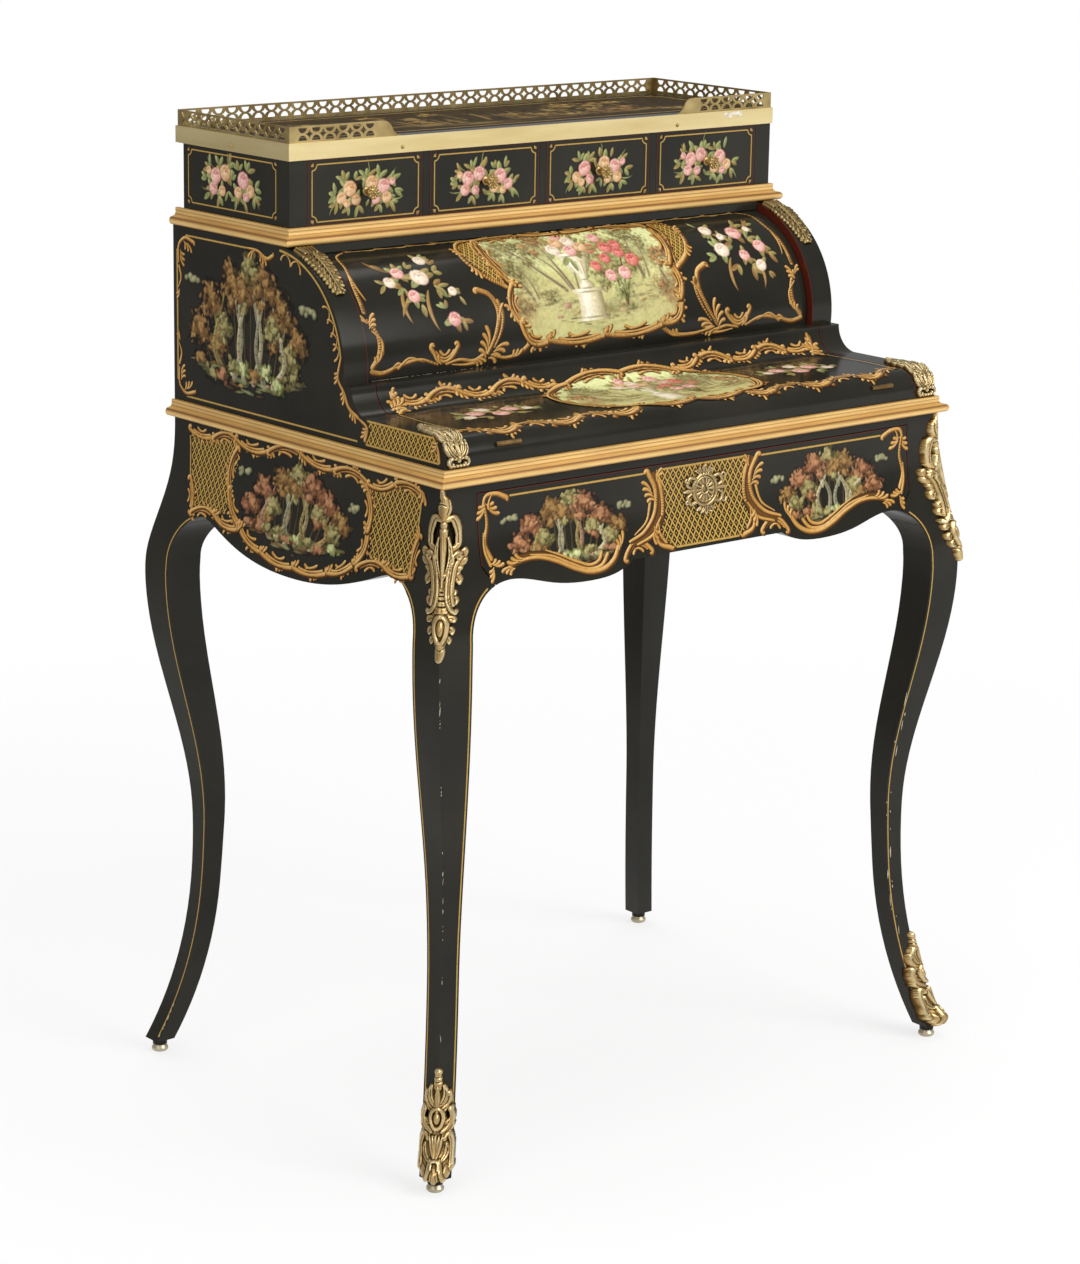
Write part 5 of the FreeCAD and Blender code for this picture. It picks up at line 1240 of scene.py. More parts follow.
def paintDrawer():
    p = drawerPaint
    rng = random.Random(23)
    for name, left, turn in p["pictures"]:
        right = left + p["wide"]
        picture = startPicture(left - 12, right + 12, p["low"] - 8, p["high"] + 6, 0.7)
        grove(picture, left, right, p["low"], p["high"], rng, turn)
        course = smooth(p["course"], 48)
        under = np.interp(-np.abs(picture["grid"].real), course.real, course.imag, right=p["past"])
        picture["cover"][picture["grid"].imag < under] = 0
        finishPicture(picture, "drawer_picture_" + name, "frieze_drawer", onFront)
    gilt = startCanvas("drawer_gilding", "frieze_drawer", onFront)
    paintTrellis(gilt, p["trellis"], 6.4)
    goldLine(gilt, np.linspace(-62+702j, 62+702j, 8), 2.2)
    goldLine(gilt, np.linspace(-44+621.5j, 44+621.5j, 8), 2.2)
    for gilt["mirror"] in (1, -1):
        drawerBorder(gilt)
    finishCanvas(gilt)
    print("drawer painted")


paintDrawer()


# Case sides and aprons: u runs to the front, and the right side is the left one turned round

rollCentre = complex(-rollY, rollZ)
sidePaint = {
    "canvas": (-222, 22, 744, 910, 0.8), "grove": (-206, 6, 750, 908),
    "apronCanvas": (-126, 100, 598, 708, 0.75), "apronGrove": (-108, 82, 608, 702),
    "frame": 228, "top": 911, "low": 741, "arc": 111.5,
    "trellis": [100+764j, 206+764j, 213+752j, 214+740j, 98+740j, 106+752j],
    "rearTrellis": [-204+706j, -200+660j, -188+622j, -130+630j, -131+655j, -116+690j, -122+708j],
    "frontTrellis": [112+700j, 128+703j, 150+709j, 188+705j, 184+660j, 184+626j, 116+627j,
                     112+655j, 106+690j],
}


def paintSide(side, sign):
    p = sidePaint
    picture = startPicture(*p["canvas"])
    grove(picture, *p["grove"], random.Random(30 + sign), 1, "brown")
    finishPicture(picture, "side_picture_" + side, "carcass", onSide(sign), flip=sign > 0)
    canvas = startCanvas("side_gilding_" + side, "carcass", onSide(sign), flip=sign > 0)
    rear, top, low = -p["frame"], p["top"], p["low"]
    goldLine(canvas, np.linspace(rear + 1j * (low + 16), rear + 1j * (top - 16), 8), 2.6)
    goldLine(canvas, np.linspace(rear + 16 + 1j * top, -84 + 1j * top, 8), 2.0)
    goldLine(canvas, np.linspace(rear + 16 + 1j * low, 84 + 1j * low, 8), 2.0)
    for corner, turn in ((complex(rear, top), -1), (complex(rear, low), 1)):
        hook = smooth([corner + 3 + turn * 30j, corner + 4 + turn * 10j, corner + 14 + turn * 3j,
                       corner + 30 + turn * 6j], 14)
        brush(canvas, curled(hook, turn, 2.4, 2.4), 4.6, 0.4)
        bunch(canvas, corner + 18 + turn * 8j, turn * 0.3, 14, 4, turn, 3)
        bunch(canvas, corner + 6 + turn * 22j, turn * 1.5, 14, 4, -turn, 3)
        sweep(canvas, [corner + 2 + turn * 56j, corner + 7 + turn * 46j, corner + 3 + turn * 32j],
              12, 3.8, 0.3)
        bunch(canvas, corner + 4 + turn * 60j, turn * 1.6, 11, 3.6, turn, 2)
    turns = np.radians(np.linspace(86, 8, 40))
    goldLine(canvas, rollCentre + p["arc"] * np.exp(1j * turns), 2.6)
    for turn in (80, 70, 34, 26, 18, 12):
        at = rollCentre + (p["arc"] - 2) * np.exp(1j * math.radians(turn))
        heading = math.radians(turn - 90)
        comma(canvas, at, heading - 0.2, 15, -1.3, 4.0)
        comma(canvas, at, heading + math.pi + 0.2, 12, 1.4, 3.6)
    brush(canvas, curled(smooth([-104+911j, -84+910j, -66+904j, -58+908j], 14), 1, 2.2, 2.6), 4.6, 0.4)
    bunch(canvas, -76+906j, -0.4, 13, 4, -1, 3)
    bunch(canvas, -92+909j, 3.4, 13, 4, 1, 2)
    low = rollCentre + p["arc"] * np.exp(1j * math.radians(8))
    sweep(canvas, [low, low - 4 - 22j, 62+786j, 70+772j, 86+764j], 18, 4.6, 0.6)
    for at, heading in ((low - 4 - 18j, -1.7), (62+784j, -1.3), (76+768j, -0.6)):
        bunch(canvas, at, heading, 12, 4, -1, 3)
    sweep(canvas, [86+764j, 100+756j, 96+742j], 12, 5, 0.5)
    bunch(canvas, 98+752j, -2.0, 12, 4, -1, 3)
    paintTrellis(canvas, p["trellis"], 6.0)
    outline = np.array(p["trellis"] + p["trellis"][:1])
    goldLine(canvas, smooth(outline[:2], 6), 2.2)
    goldLine(canvas, smooth(outline[3:5], 6), 2.2)
    sweep(canvas, [204+766j, 212+754j, 215+740j], 12, 4.4, 0.5)
    bunch(canvas, 210+756j, -2.0, 12, 3.6, -1, 3)
    finishCanvas(canvas)


def paintApron(side, sign):
    p = sidePaint
    rng = random.Random(40 + sign)
    picture = startPicture(*p["apronCanvas"])
    grove(picture, *p["apronGrove"], rng)
    finishPicture(picture, "apron_picture_" + side, "carcass", onApron(sign), flip=sign > 0)
    canvas = startCanvas("apron_gilding_" + side, "carcass", onApron(sign), flip=sign > 0)
    for part in ("rearTrellis", "frontTrellis"):
        paintTrellis(canvas, p[part], 6.4)
    goldLine(canvas, smooth([-206+700j, -202+660j, -190+622j], 14), 2.2)
    goldLine(canvas, smooth([188+704j, 184+660j, 188+624j], 14), 2.2)
    scrollRun(canvas, [-206+706j, -0.1, -164+704j, 0.14, -122+709j], 4.8, 13, rng, -1)  # along the top
    scrollRun(canvas, [-122+709j, -0.12, -66+706j, 0.12, -8+712j, -0.1, 48+706j, 0.14, 104+700j, -0.12,
                       148+710j, 0.1, 190+706j], 4.8, 13, rng, -1)
    scrollRun(canvas, [-120+700j, -0.16, -131+655j, -0.14, -104+622j, -0.1, -58+603j, -0.08, 0+598j, -0.08,
                       56+603j, -0.1, 96+620j, -0.16, 108+655j, -0.14, 100+698j], 5.0, 13, rng, 1)
    scrollRun(canvas, [-200+656j, 0.1, -190+622j, 0.14, -150+626j, -0.12, -104+618j], 4.6, 12, rng, 1)
    scrollRun(canvas, [100+618j, 0.12, 140+626j, -0.12, 184+624j, 0.1, 188+664j], 4.6, 12, rng, 1)
    finishCanvas(canvas)


for side, sign in bothSides:
    paintSide(side, sign)
    paintApron(side, sign)
print("sides painted")


# Tier: a line frame and a spray of flowers on each drawer and on both ends

tierBlooms = [(-31, -5, 7, "peach"), (-20, 4, 9.5, "pink"), (-12, -8, 6.5, "peach"), (-24, -11, 5, "peach"),
              (8, 8, 9, "peach"), (23, 4, 9, "pink"), (27, -8, 7, "peach"), (13, -9, 6, "pink"),
              (34, 8, 4.5, "peach")]
tierLeaves = [(-26, 12, 1.9, 12), (-38, -2, 2.8, 12), (-36, -10, 3.8, 11), (-14, 12, 1.1, 11),
              (-10, -13, -1.1, 12), (-22, -15, -1.9, 11), (-3, 2, 1.6, 11), (2, 14, 1.7, 12),
              (17, 13, 1.1, 12), (32, 10, 0.7, 12), (37, 0, -0.1, 12), (32, -12, -0.7, 12),
              (18, -14, -1.6, 12), (4, -8, -2.2, 10)]
tierEnd = {"canvas": (-212, -70, 944, 1002, 0.65), "middle": -141+973j, "frame": (-216, -62, 945, 1000)}


def lineFrame(canvas, left, right, low, high, scallop=6, width=1.5):
    for corner, out in ((complex(left, low), 1+1j), (complex(right, low), -1+1j),
                        (complex(right, high), -1-1j), (complex(left, high), 1-1j)):
        t = np.linspace(0, math.pi / 2, 9)
        goldLine(canvas, corner + scallop * (out.real * np.cos(t) + 1j * out.imag * np.sin(t)), width)
        for turn in (-0.6, 0, 0.6):
            comma(canvas, corner + out * scallop * 0.3, np.angle(out) + turn + math.pi, 3.6, 0, 1.7)
    for first, last in ((complex(left + scallop, low), complex(right - scallop, low)),
                        (complex(left + scallop, high), complex(right - scallop, high)),
                        (complex(left, low + scallop), complex(left, high - scallop)),
                        (complex(right, low + scallop), complex(right, high - scallop))):
        goldLine(canvas, np.linspace(first, last, 6), width)


def spray(picture, centre, rng, stretch, turn):
    for heading, start, curve in ((0.35, 24+10j, 0.35), (3.6, -34-8j, 0.4), (-0.5, 30-8j, 0.5),
                                  (1.4, 4+14j, 0.3)):
        stem(picture, centre + complex(start.real * turn, start.imag) * stretch,
             heading if turn > 0 else math.pi - heading, 20, curve * turn, 1.6, "green")
    blooms = [(a * turn * stretch, b * stretch, s * stretch, rng.choice((kind, "pink", "peach")))
              for a, b, s, kind in tierBlooms]
    leaves = [(a * turn * stretch, b * stretch, h if turn > 0 else math.pi - h, n * stretch)
              for a, b, h, n in tierLeaves]
    bouquet(picture, centre, blooms, leaves, rng, ("green", "green", "olive"))


def paintTier():
    for i in range(1, 5):
        low, high = nodeBox(f"tier_drawer_{i}_front")
        middle = complex((low[0] + high[0]) / 2, nodeBox(f"tier_drawer_{i}_knob")[0][2] + 11)
        picture = startPicture(middle.real - 62, middle.real + 62, low[2] + 2, high[2] - 3, 0.6)
        spray(picture, middle, random.Random(50 + i), 1.0, 1 if i % 2 else -1)
        finishPicture(picture, f"tier_drawer_{i}_picture", f"tier_drawer_{i}", onTierFront)
        canvas = startCanvas(f"tier_drawer_{i}_lines", f"tier_drawer_{i}", onTierFront)
        lineFrame(canvas, low[0] + 5.5, high[0] - 5.5, low[2] + 3.5, high[2] - 5)
        finishCanvas(canvas)
    for side, sign in bothSides:
        picture = startPicture(*tierEnd["canvas"])
        spray(picture, tierEnd["middle"], random.Random(60 + sign), 1.12, -1)
        finishPicture(picture, "tier_side_picture_" + side, "carcass", onTierSide(sign), flip=sign > 0)
        canvas = startCanvas("tier_side_lines_" + side, "carcass", onTierSide(sign), flip=sign > 0)
        lineFrame(canvas, *tierEnd["frame"])
        finishCanvas(canvas)


paintTier()
print("tier painted")


# Gold lines along the inner edges of the legs

legLine = {"inset": 3.0, "width": 1.7, "low": 20}


def legPath(turn):  # a line beside the inner edge of a leg, up and over the arch
    c = legCurve
    z = np.linspace(legLine["low"], c["spring"], 40)
    up = legIn(z) + legLine["inset"] + 1j * z
    turns = np.linspace(0, turn, 16)[1:]
    middle = float(legIn(c["spring"])) - c["arch"] + 1j * c["spring"]
    return np.concatenate([up, middle + (c["arch"] + legLine["inset"]) * np.exp(1j * turns)])


def lineLegs():
    front = startCanvas("leg_lines_front", "carcass", onFront)
    for front["mirror"] in (1, -1):
        goldLine(front, halfCase + legPath(1.05), legLine["width"])
    finishCanvas(front)
    for side, sign in bothSides:
        canvas = startCanvas("leg_lines_" + side, "carcass", onApron(sign), flip=sign > 0)
        goldLine(canvas, -frontY + legPath(1.15), legLine["width"])
        canvas["mirror"] = -1
        goldLine(canvas, backY + legPath(1.15), legLine["width"])
        finishCanvas(canvas)


lineLegs()
print("legs lined")


# Tier top: brown ground with faded gold trees, inside the gallery

topPaint = {"ground": toneSet("2c2110", "3d2f17"), "half": 316, "front": 56, "back": 218, "inset": 14}


def paintTop():
    p = topPaint
    rng = random.Random(71)
    picture = startPicture(-p["half"], p["half"], p["front"], p["back"], 2.0)
    share = np.clip(0.5 + 0.9 * picture["grain"], 0, 1)[..., None]
    picture["colour"][:] = np.array(p["ground"][0]) * (1 - share) + np.array(p["ground"][1]) * share
    picture["cover"][:] = 1
    for k in range(26):
        spot = complex(rng.uniform(-250, 250), rng.uniform(90, 180))
        foliage(picture, spot, rng.uniform(18, 36), rng.uniform(10, 20),
                rng.choice(("gilt", "gilt", "brown")), rng, 46, 4.2, 0.7)
    for k in range(30):
        spot = complex(rng.gauss(0, 110), rng.uniform(88, 130))
        trunk(picture, spot, spot + complex(rng.uniform(-14, 14), rng.uniform(26, 52)), 4, 0, tone("b99a55"),
              tone("5a4420"), rng, 0, 0.8)
    groundStrokes(picture, -230, 230, 104, 26, rng, 70, ("gilt", "brown"))
    finishPicture(picture, "tier_top_picture", "carcass", onTop, material=topMaterial)
    canvas = startCanvas("tier_top_lines", "carcass", onTop)
    lineFrame(canvas, -p["half"] + p["inset"], p["half"] - p["inset"], p["front"] + 10,
              p["back"] - 12, 14, 2.4)
    finishCanvas(canvas)


paintTop()


# Chips along the arrises of the front legs and the back left foot, and rubs on the band and the ledge

wear = {"chip": tone("d9cfb8"), "band": tone("e9e4d6"),
        "legs": ((-1, 150, 545, 1), (1, 60, 420, 1.7))}  # side, lowest and highest chip, how bold they are


def addWear():
    rng = random.Random(83)
    front = startCanvas("leg_chips_front", "carcass", onFront)
    for sign, low, high, bold in wear["legs"]:
        z = low
        while z < high:
            outer, inner = halfCase + float(legOut(z)) - 0.9, halfCase + float(legIn(z))
            spot = complex(sign * (outer if sign < 0 else inner + rng.choice((0.9, 6.5))), z)
            long = rng.choice((0.4, 0.7, 1.2, 4.0)) * rng.uniform(0.6, 1.3)
            dab(front, spot, bold * rng.uniform(0.25, 0.55), bold * long, 0, wear["chip"],
                shadeTone(wear["chip"], 0.5), 6, 0.3, rng)
            z += long + rng.expovariate(1 / 14)
    finishCanvas(front)
    back = startCanvas("leg_chips_left", "carcass", onApron(-1))
    for k in range(12):
        z = rng.uniform(20, 60)
        spot = complex(-(backY + float(legIn(z)) + 2.2), z)
        dab(back, spot, rng.uniform(0.6, 1.1), rng.uniform(1.2, 3.2), 0, wear["chip"],
            shadeTone(wear["chip"], 0.6), 6, 0.3, rng)
    finishCanvas(back)
    low, high = nodeBox("gallery_band")

    def onBand(u, v, lift):
        return np.stack([u, low[1] - lift, v], 1) * mm
    band = startCanvas("band_rub", "carcass", onBand)
    for k in range(7):
        spot = complex(high[0] - 62 + rng.gauss(0, 5), low[2] + 13 + rng.gauss(0, 1.6))
        dab(band, spot, rng.uniform(2.5, 5), rng.uniform(1.0, 2.0), 0.1, wear["band"],
            shadeTone(wear["band"], 0.85), 8, 0.3, rng)
    finishCanvas(band)
    ledge = startCanvas("ledge_rub", "flap", onFlap)
    for k in range(26):
        spot = complex(-296 + 150 * (k / 26) ** 1.2 + rng.uniform(-2, 2), onFlap.length - 1.4)
        dab(ledge, spot, rng.uniform(1.5, 5) * (1.2 - k / 30), 0.5, 0, wear["chip"],
            wear["chip"], 6, 0.3, rng)
    finishCanvas(ledge)


addWear()
print("wear added")


# Gilt-bronze mounts: chased reliefs cast over the corners and edges they sit on

castBase, castWall, cornerRound = 0.4, 0.6, 4  # lowest relief, metal thickness, rounding of a leg corner


def startRelief(left, right, low, high, cell=0.65):
    across, up = np.meshgrid(np.arange(left, right + cell, cell), np.arange(low, high + cell, cell))
    return {"cell": cell, "grid": across + 1j * up, "height": np.zeros(across.shape)}


def strandParts(relief, path, half):  # each step of a path with the patch of the relief it reaches
    run = pathLength(np.asarray(path, complex))
    at = np.linspace(0, run[-1], max(2, int(run[-1] / relief["cell"]) + 1))
    halves = np.interp(at, np.linspace(0, run[-1], np.size(half)), np.atleast_1d(half))
    for share, spot, reach in zip(at / run[-1], np.interp(at, run, path), halves):
        patch = windowOf(relief, spot, reach)
        away = np.abs(relief["grid"][patch] - spot) / reach
        yield share, patch, np.sqrt(np.clip(1 - away ** 2, 0, 1)), away < 1


def strand(relief, path, half, height):  # a rounded strand; half widths and heights may run along it
    heights = np.atleast_1d(height)
    for s, patch, dome, inside in strandParts(relief, path, half):
        here = np.interp(s, np.linspace(0, 1, len(heights)), heights)
        part = relief["height"][patch]
        part[inside] = np.maximum(part, castBase + here * dome)[inside]


def groove(relief, path, half, depth):
    cut = np.zeros(relief["height"].shape)
    for s, patch, dome, inside in strandParts(relief, path, half):
        cut[patch] = np.maximum(cut[patch], depth * dome)
    solid = relief["height"] > 0
    relief["height"][solid] = np.maximum(relief["height"] - cut, 0.35)[solid]


def frond(relief, base, tip, width, height, bend, vein=True):  # a leaf lobe with a furrow along it
    t = np.linspace(0, 1, 16)
    path = base + (tip - base) * (t + 1j * bend * np.sin(np.pi * t))
    strand(relief, path, width * (0.25 + 0.75 * np.sin(np.pi * np.clip(t * 0.86 + 0.06, 0, 1))),
           height * np.linspace(0.8, 1, 5))
    if vein:
        groove(relief, path[2:-3], width * 0.22, height * 0.35)


def ring(relief, centre, across, up, half, height):
    turns = np.linspace(0, 2 * np.pi, 60)
    strand(relief, centre + across * np.cos(turns) + 1j * up * np.sin(turns), half, height)


def cabochon(relief, centre, across, up, height):
    away = ((relief["grid"] - centre).real / across) ** 2 + ((relief["grid"] - centre).imag / up) ** 2
    dome = castBase + height * np.sqrt(np.clip(1 - away, 0, 1))
    relief["height"] = np.where(away < 1, np.maximum(relief["height"], dome), relief["height"])


def volute(relief, centre, radius, half, height, start, turn):  # a curled end that rolls into its eye
    t = np.linspace(0, 1, 40)
    path = centre + radius * (1 - 0.8 * t) * np.exp(1j * (start + turn * 4.6 * t))
    strand(relief, path, half * (1 - 0.35 * t), height)


def plate(relief, halves, height):  # a thin ground between the strands: pairs of (up, half width)
    ups, wides = zip(*sorted(halves))
    reach = np.interp(relief["grid"].imag, ups, wides, 0, 0)
    inside = np.abs(relief["grid"].real) < reach
    relief["height"][inside] = np.maximum(relief["height"], height)[inside]


def blurred(heights):
    soft = heights.copy()
    for k in range(5):
        pad = np.pad(soft, 1, mode="edge")
        soft = (pad[1:-1, 1:-1] * 2 + pad[:-2, 1:-1] + pad[2:, 1:-1] + pad[1:-1, :-2] + pad[1:-1, 2:]) / 6
    return soft


def castMount(name, node, reliefs, bronze=mountBronze, body="carcass"):
    # reliefs: (relief, place, mirrored)
    points, tints, faces = [], [], []
    for relief, place, turned in reliefs:
        height = relief["height"]
        solid = height > 0.05
        used, quads = shownQuads(solid)
        spots, stands = relief["grid"].ravel()[used], np.where(solid, height, 0).ravel()[used]
        # painted shade in the hollows and painted highlight on the ridges, read by the bronze material as the
        # relief attribute
        hollowShadeRidgeHighlight = 0.5 + (height - blurred(height)) / 1.5
        points.append(place(spots.real, spots.imag, stands, solid.ravel()[used]))
        tints.append(np.where(solid, np.clip(hollowShadeRidgeHighlight, 0, 1), 0).ravel()[used])
        faces.append((quads[:, ::-1] if turned else quads) + sum(len(p) for p in points[:-1]))
    mesh = bpy.data.meshes.new(name)
    mesh.from_pydata(np.concatenate(points).tolist(), [], np.concatenate(faces).tolist())
    shadingAttribute = mesh.attributes.new("relief", "FLOAT", "POINT")
    shadingAttribute.data.foreach_set("value", np.concatenate(tints).astype(np.float32))
    mesh.materials.append(bronze)
    piece = bpy.data.objects.new(name, mesh)
    bpy.context.collection.objects.link(piece)
    bpy.ops.object.select_all(action="DESELECT")
    piece.select_set(True)
    bpy.context.view_layer.objects.active = piece
    bpy.ops.object.shade_smooth()
    wall = piece.modifiers.new("wall", "SOLIDIFY")
    wall.thickness = castWall * mm
    wall.offset = -1
    bpy.ops.object.modifier_apply(modifier="wall")
    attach(piece, body)
    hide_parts(node)


def onCorner(sign, bulge=None):  # the outer corner of a front leg, seen square to it
    def place(u, v, h, solid):
        out = legOut(v)
        stand = cornerRound - np.sqrt(u ** 2 + cornerRound ** 2) + castWall + h
        if bulge:
            stand = stand + np.where(solid, bulge(u, v), 0)
        stand = np.where(solid, stand, -np.abs(u) - 3) / math.sqrt(2)
        side = u / math.sqrt(2)
        x = -(halfCase + out) - stand + side
        y = frontY - out - stand - side
        return np.stack([-sign * x, y, v], 1) * mm
    return place


def mountSpots(top):  # spots across and down from the top of a mount, and ways through them
    def at(u, t):
        return complex(u, top - t)

    def way(count, sign, *spots):
        return smooth([at(sign * u, t) for u, t in spots], count)
    return at, way


kneeMount = {
    "top": 716,
    "ground": ((58, 8), (66, 17), (76, 12.5), (90, 11.5), (104, 10), (114, 12), (120, 8), (126, 9.5),
               (138, 8.5), (148, 5)),
    "panel": ((80, 1.5), (96, 3.4), (108, 4.6), (117, 6.8)),
    "slots": ((97, 1.3), (100.6, 1.6), (105, 2.6), (110.6, 3.6)),
    "flutes": ((82, 9.6, 64), (83, 7.6, 55), (85, 4.6, 46)),
    "shoulders": ((12, 71, 20.4, 69, 4.4), (13, 67, 19.6, 59.5, 4.6), (12, 76, 17, 76.5, 3.4)),
    "edgeLeaves": ((10.5, 76, 14, 82.5, 2.8), (9, 83, 16, 91, 3.9), (9, 97, 12.4, 100.5, 2.6),
                   (9.5, 103, 13.2, 109.5, 3.3), (7, 122, 12.8, 125.5, 3.5), (7, 131, 11.4, 137, 3.0),
                   (5, 139, 8.8, 145.5, 2.7)),
}


def makeKneeMounts():
    p = kneeMount
    cast = startRelief(-25, 25, 550, 718)
    at, way = mountSpots(p["top"])
    plate(cast, [(p["top"] - t, w) for t, w in p["ground"]], 1.2)
    strand(cast, way(20, 1, (-2, 1), (-1.5, 6), (1.5, 12), (3, 18)), [2.4, 3.4, 4.6, 4.4], 4.2)  # flame
    strand(cast, way(20, 1, (0.5, 13), (0.5, 19), (0, 28)), [4.6, 7.0, 6.0, 3.4], 4.8)
    groove(cast, way(12, 1, (-6, 15), (-1, 13.5), (2, 15)), 0.8, 1.6)
    groove(cast, way(14, 1, (4, 9), (5, 16), (3, 24)), 0.7, 1.2)
    cabochon(cast, at(0, 34), 3.9, 5.6, 5.2)
    for sign in (1, -1):
        loop = way(36, sign, (2.5, 29), (8, 28), (12, 36), (13.5, 47), (12.5, 55), (9, 57.5))
        strand(cast, loop, [3.2, 4.0, 3.8, 3.2, 3.2, 3.4], 4.4)
        groove(cast, loop[5:-7], 0.7, 1.3)
    plate(cast, [(p["top"] - t, w) for t, w in p["panel"]], 3.4)
    for t, reach in p["slots"]:
        groove(cast, [at(-reach, t), at(reach, t)], 0.9, 2.2)
    for sign in (1, -1):
        for u, t, tipU, tipT, wide in p["edgeLeaves"]:
            frond(cast, at(sign * u, t), at(sign * tipU, tipT), wide, 2.3, sign * 0.2)
        for u, t, tipU, tipT, wide in p["shoulders"]:
            frond(cast, at(sign * u, t), at(sign * tipU, tipT), wide, 2.6, -sign * 0.15, False)
        outer = way(36, sign, (17, 66), (12.6, 72), (10, 84), (9.2, 98), (11, 110))
        strand(cast, outer, [2.4, 2.6, 2.4, 2.2, 2.0], 3.8)
        scroll = way(60, sign, (16.5, 65.5), (13.5, 61.5), (9, 66), (6, 80), (5, 94), (6, 106),
                     (10, 115), (13.5, 117.5))
        strand(cast, scroll, [2.2, 2.8, 3.0, 2.8, 2.6, 2.6, 2.4, 2.2], 5.4)
        groove(cast, scroll[8:-10] + sign * 0.9, 0.6, 1.4)
        volute(cast, at(sign * 16, 66), 3.6, 2.2, 5.0, math.pi / 2, sign)
        cabochon(cast, at(sign * 13.5, 116.5), 2.8, 2.8, 4.6)
        for base, u, tip in p["flutes"]:  # leaf that opens upwards between the scrolls
            frond(cast, at(sign * 1.2, base), at(sign * u, tip), 2.5, 5.8, -sign * 0.1)
    strand(cast, [at(0, 40), at(0, 92)], [4.4, 4.0, 3.0, 2.2, 1.4], [5.6, 6.4, 5.0])
    drop = np.linspace(0, 2 * np.pi, 60)
    tall = np.where(np.cos(drop) < 0, 13.5, 11.5)
    rim = at(0, 131) + 6.2 * np.sin(drop) * (1 + 0.12 * np.cos(drop)) + 1j * tall * np.cos(drop)
    strand(cast, rim, 2.6, 5.0)
    cabochon(cast, at(0, 130.5), 4.2, 8.8, 5.0)
    strand(cast, way(14, 1, (0, 147), (0.5, 153), (-0.5, 160)), [4.0, 5.2, 5.0, 4.0], 4.8)
    groove(cast, way(10, 1, (-4, 149), (0, 151), (4, 149)), 0.8, 1.4)
    castMount("knee_mounts_chased", "knee_mounts", [(cast, onCorner(-1), False), (cast, onCorner(1), True)])


def toeBulge(u, v):
    return 7.5 * np.exp(-((v - 25) / 9) ** 2) * np.exp(-(u / 13) ** 4)


sabot = {
    "top": 122,
    "ground": ((15, 3.5), (24, 7), (36, 5.5), (44, 9), (56, 11), (62, 9), (66, 14), (80, 15),
               (98, 15.5), (106, 9)),
    "plume": ((2, 42, 10, 34, 3.2, 3.2), (1.5, 39, 11.2, 24.5, 4.2, 3.8), (1.2, 37, 6, 17, 3.2, 4.6)),
    "sideLeaves": ((9, 60, 15.8, 55, 3.0, 3.2), (7, 64, 13.6, 61.5, 2.8, 3.0), (8, 54, 14.4, 48, 2.8, 3.0)),
    "shell": (-0.62, -0.32, 0, 0.32, 0.62),
}


def makeSabots():
    p = sabot
    cast = startRelief(-19, 19, 14, 125)
    at, way = mountSpots(p["top"])
    plate(cast, [(p["top"] - t, w) for t, w in p["ground"]], 1.2)
    cabochon(cast, at(0, 3.6), 4.3, 4.0, 4.6)
    strand(cast, [at(0, 6), at(0, 18)], [3.4, 4.4, 4.8], 4.2)
    for t in (8, 12.5):
        groove(cast, way(10, 1, (-4.5, t - 0.5), (0, t + 0.5), (4.5, t - 0.5)), 0.7, 1.3)
    for sign in (1, -1):
        for u, t, tipU, tipT, wide, high in p["plume"] + p["sideLeaves"]:
            frond(cast, at(sign * u, t), at(sign * tipU, tipT), wide, high, -sign * 0.2)
        strand(cast, way(24, sign, (6, 61), (12, 57), (15, 50), (13.4, 42)), [2.4, 3.0, 2.8, 2.4], 3.8)
        cabochon(cast, at(sign * 13.2, 41), 3.0, 3.4, 4.6)
        edge = way(36, sign, (8.6, 67), (12, 63.5), (15, 70), (15.8, 84), (16, 96))
        strand(cast, edge, [2.2, 2.6, 2.4, 2.4, 3.0], 4.8)
        groove(cast, edge[8:-4], 0.6, 1.2)
        cabochon(cast, at(sign * 8.8, 68), 2.6, 2.6, 4.6)
        cabochon(cast, at(sign * 12.2, 98), 3.6, 6.6, 4.6)
        frond(cast, at(sign * 6, 88), at(sign * 10.8, 73), 3.4, 3.8, -sign * 0.2)
        strand(cast, way(16, sign, (4.8, 87), (6.4, 96), (9.4, 105)), [2.0, 2.4, 2.8], 4.8)
    frond(cast, at(0, 44), at(0, 18), 3.4, 5.2, 0, False)
    ring(cast, at(0, 48), 6.6, 9.8, 2.2, 5.0)
    cabochon(cast, at(0, 48), 3.8, 6.2, 4.8)
    for lean in p["shell"]:
        frond(cast, at(3 * lean, 84), at(10.5 * lean, 64 + 3 * abs(lean)), 2.3, 5.2, 0, False)
    strand(cast, way(20, 1, (-4.2, 93), (-3.0, 87), (3.0, 87), (4.2, 93)), 1.6, 5.2)
    cabochon(cast, at(0, 100), 5.2, 8.6, 4.2)
    for sign in (1, -1):
        groove(cast, [at(sign * 1.8, 94), at(sign * 2.6, 107)], 0.6, 1.1)
    castMount("sabots_chased", "sabots", [(cast, onCorner(-1, toeBulge), False),
                                          (cast, onCorner(1, toeBulge), True)])


def sideEdge(sign, profile):  # along the curved edge of a case side; u lies across the edge
    middle = (nodeBox("case_side_right")[0][0] + halfCase) / 2

    def place(u, v, h, solid):
        return profile(sign * middle + u, v, np.where(solid, 0.2 + h, -2.5))
    return place


upperMount = {"from": 40, "to": 78}  # degrees up the round edge of a case side


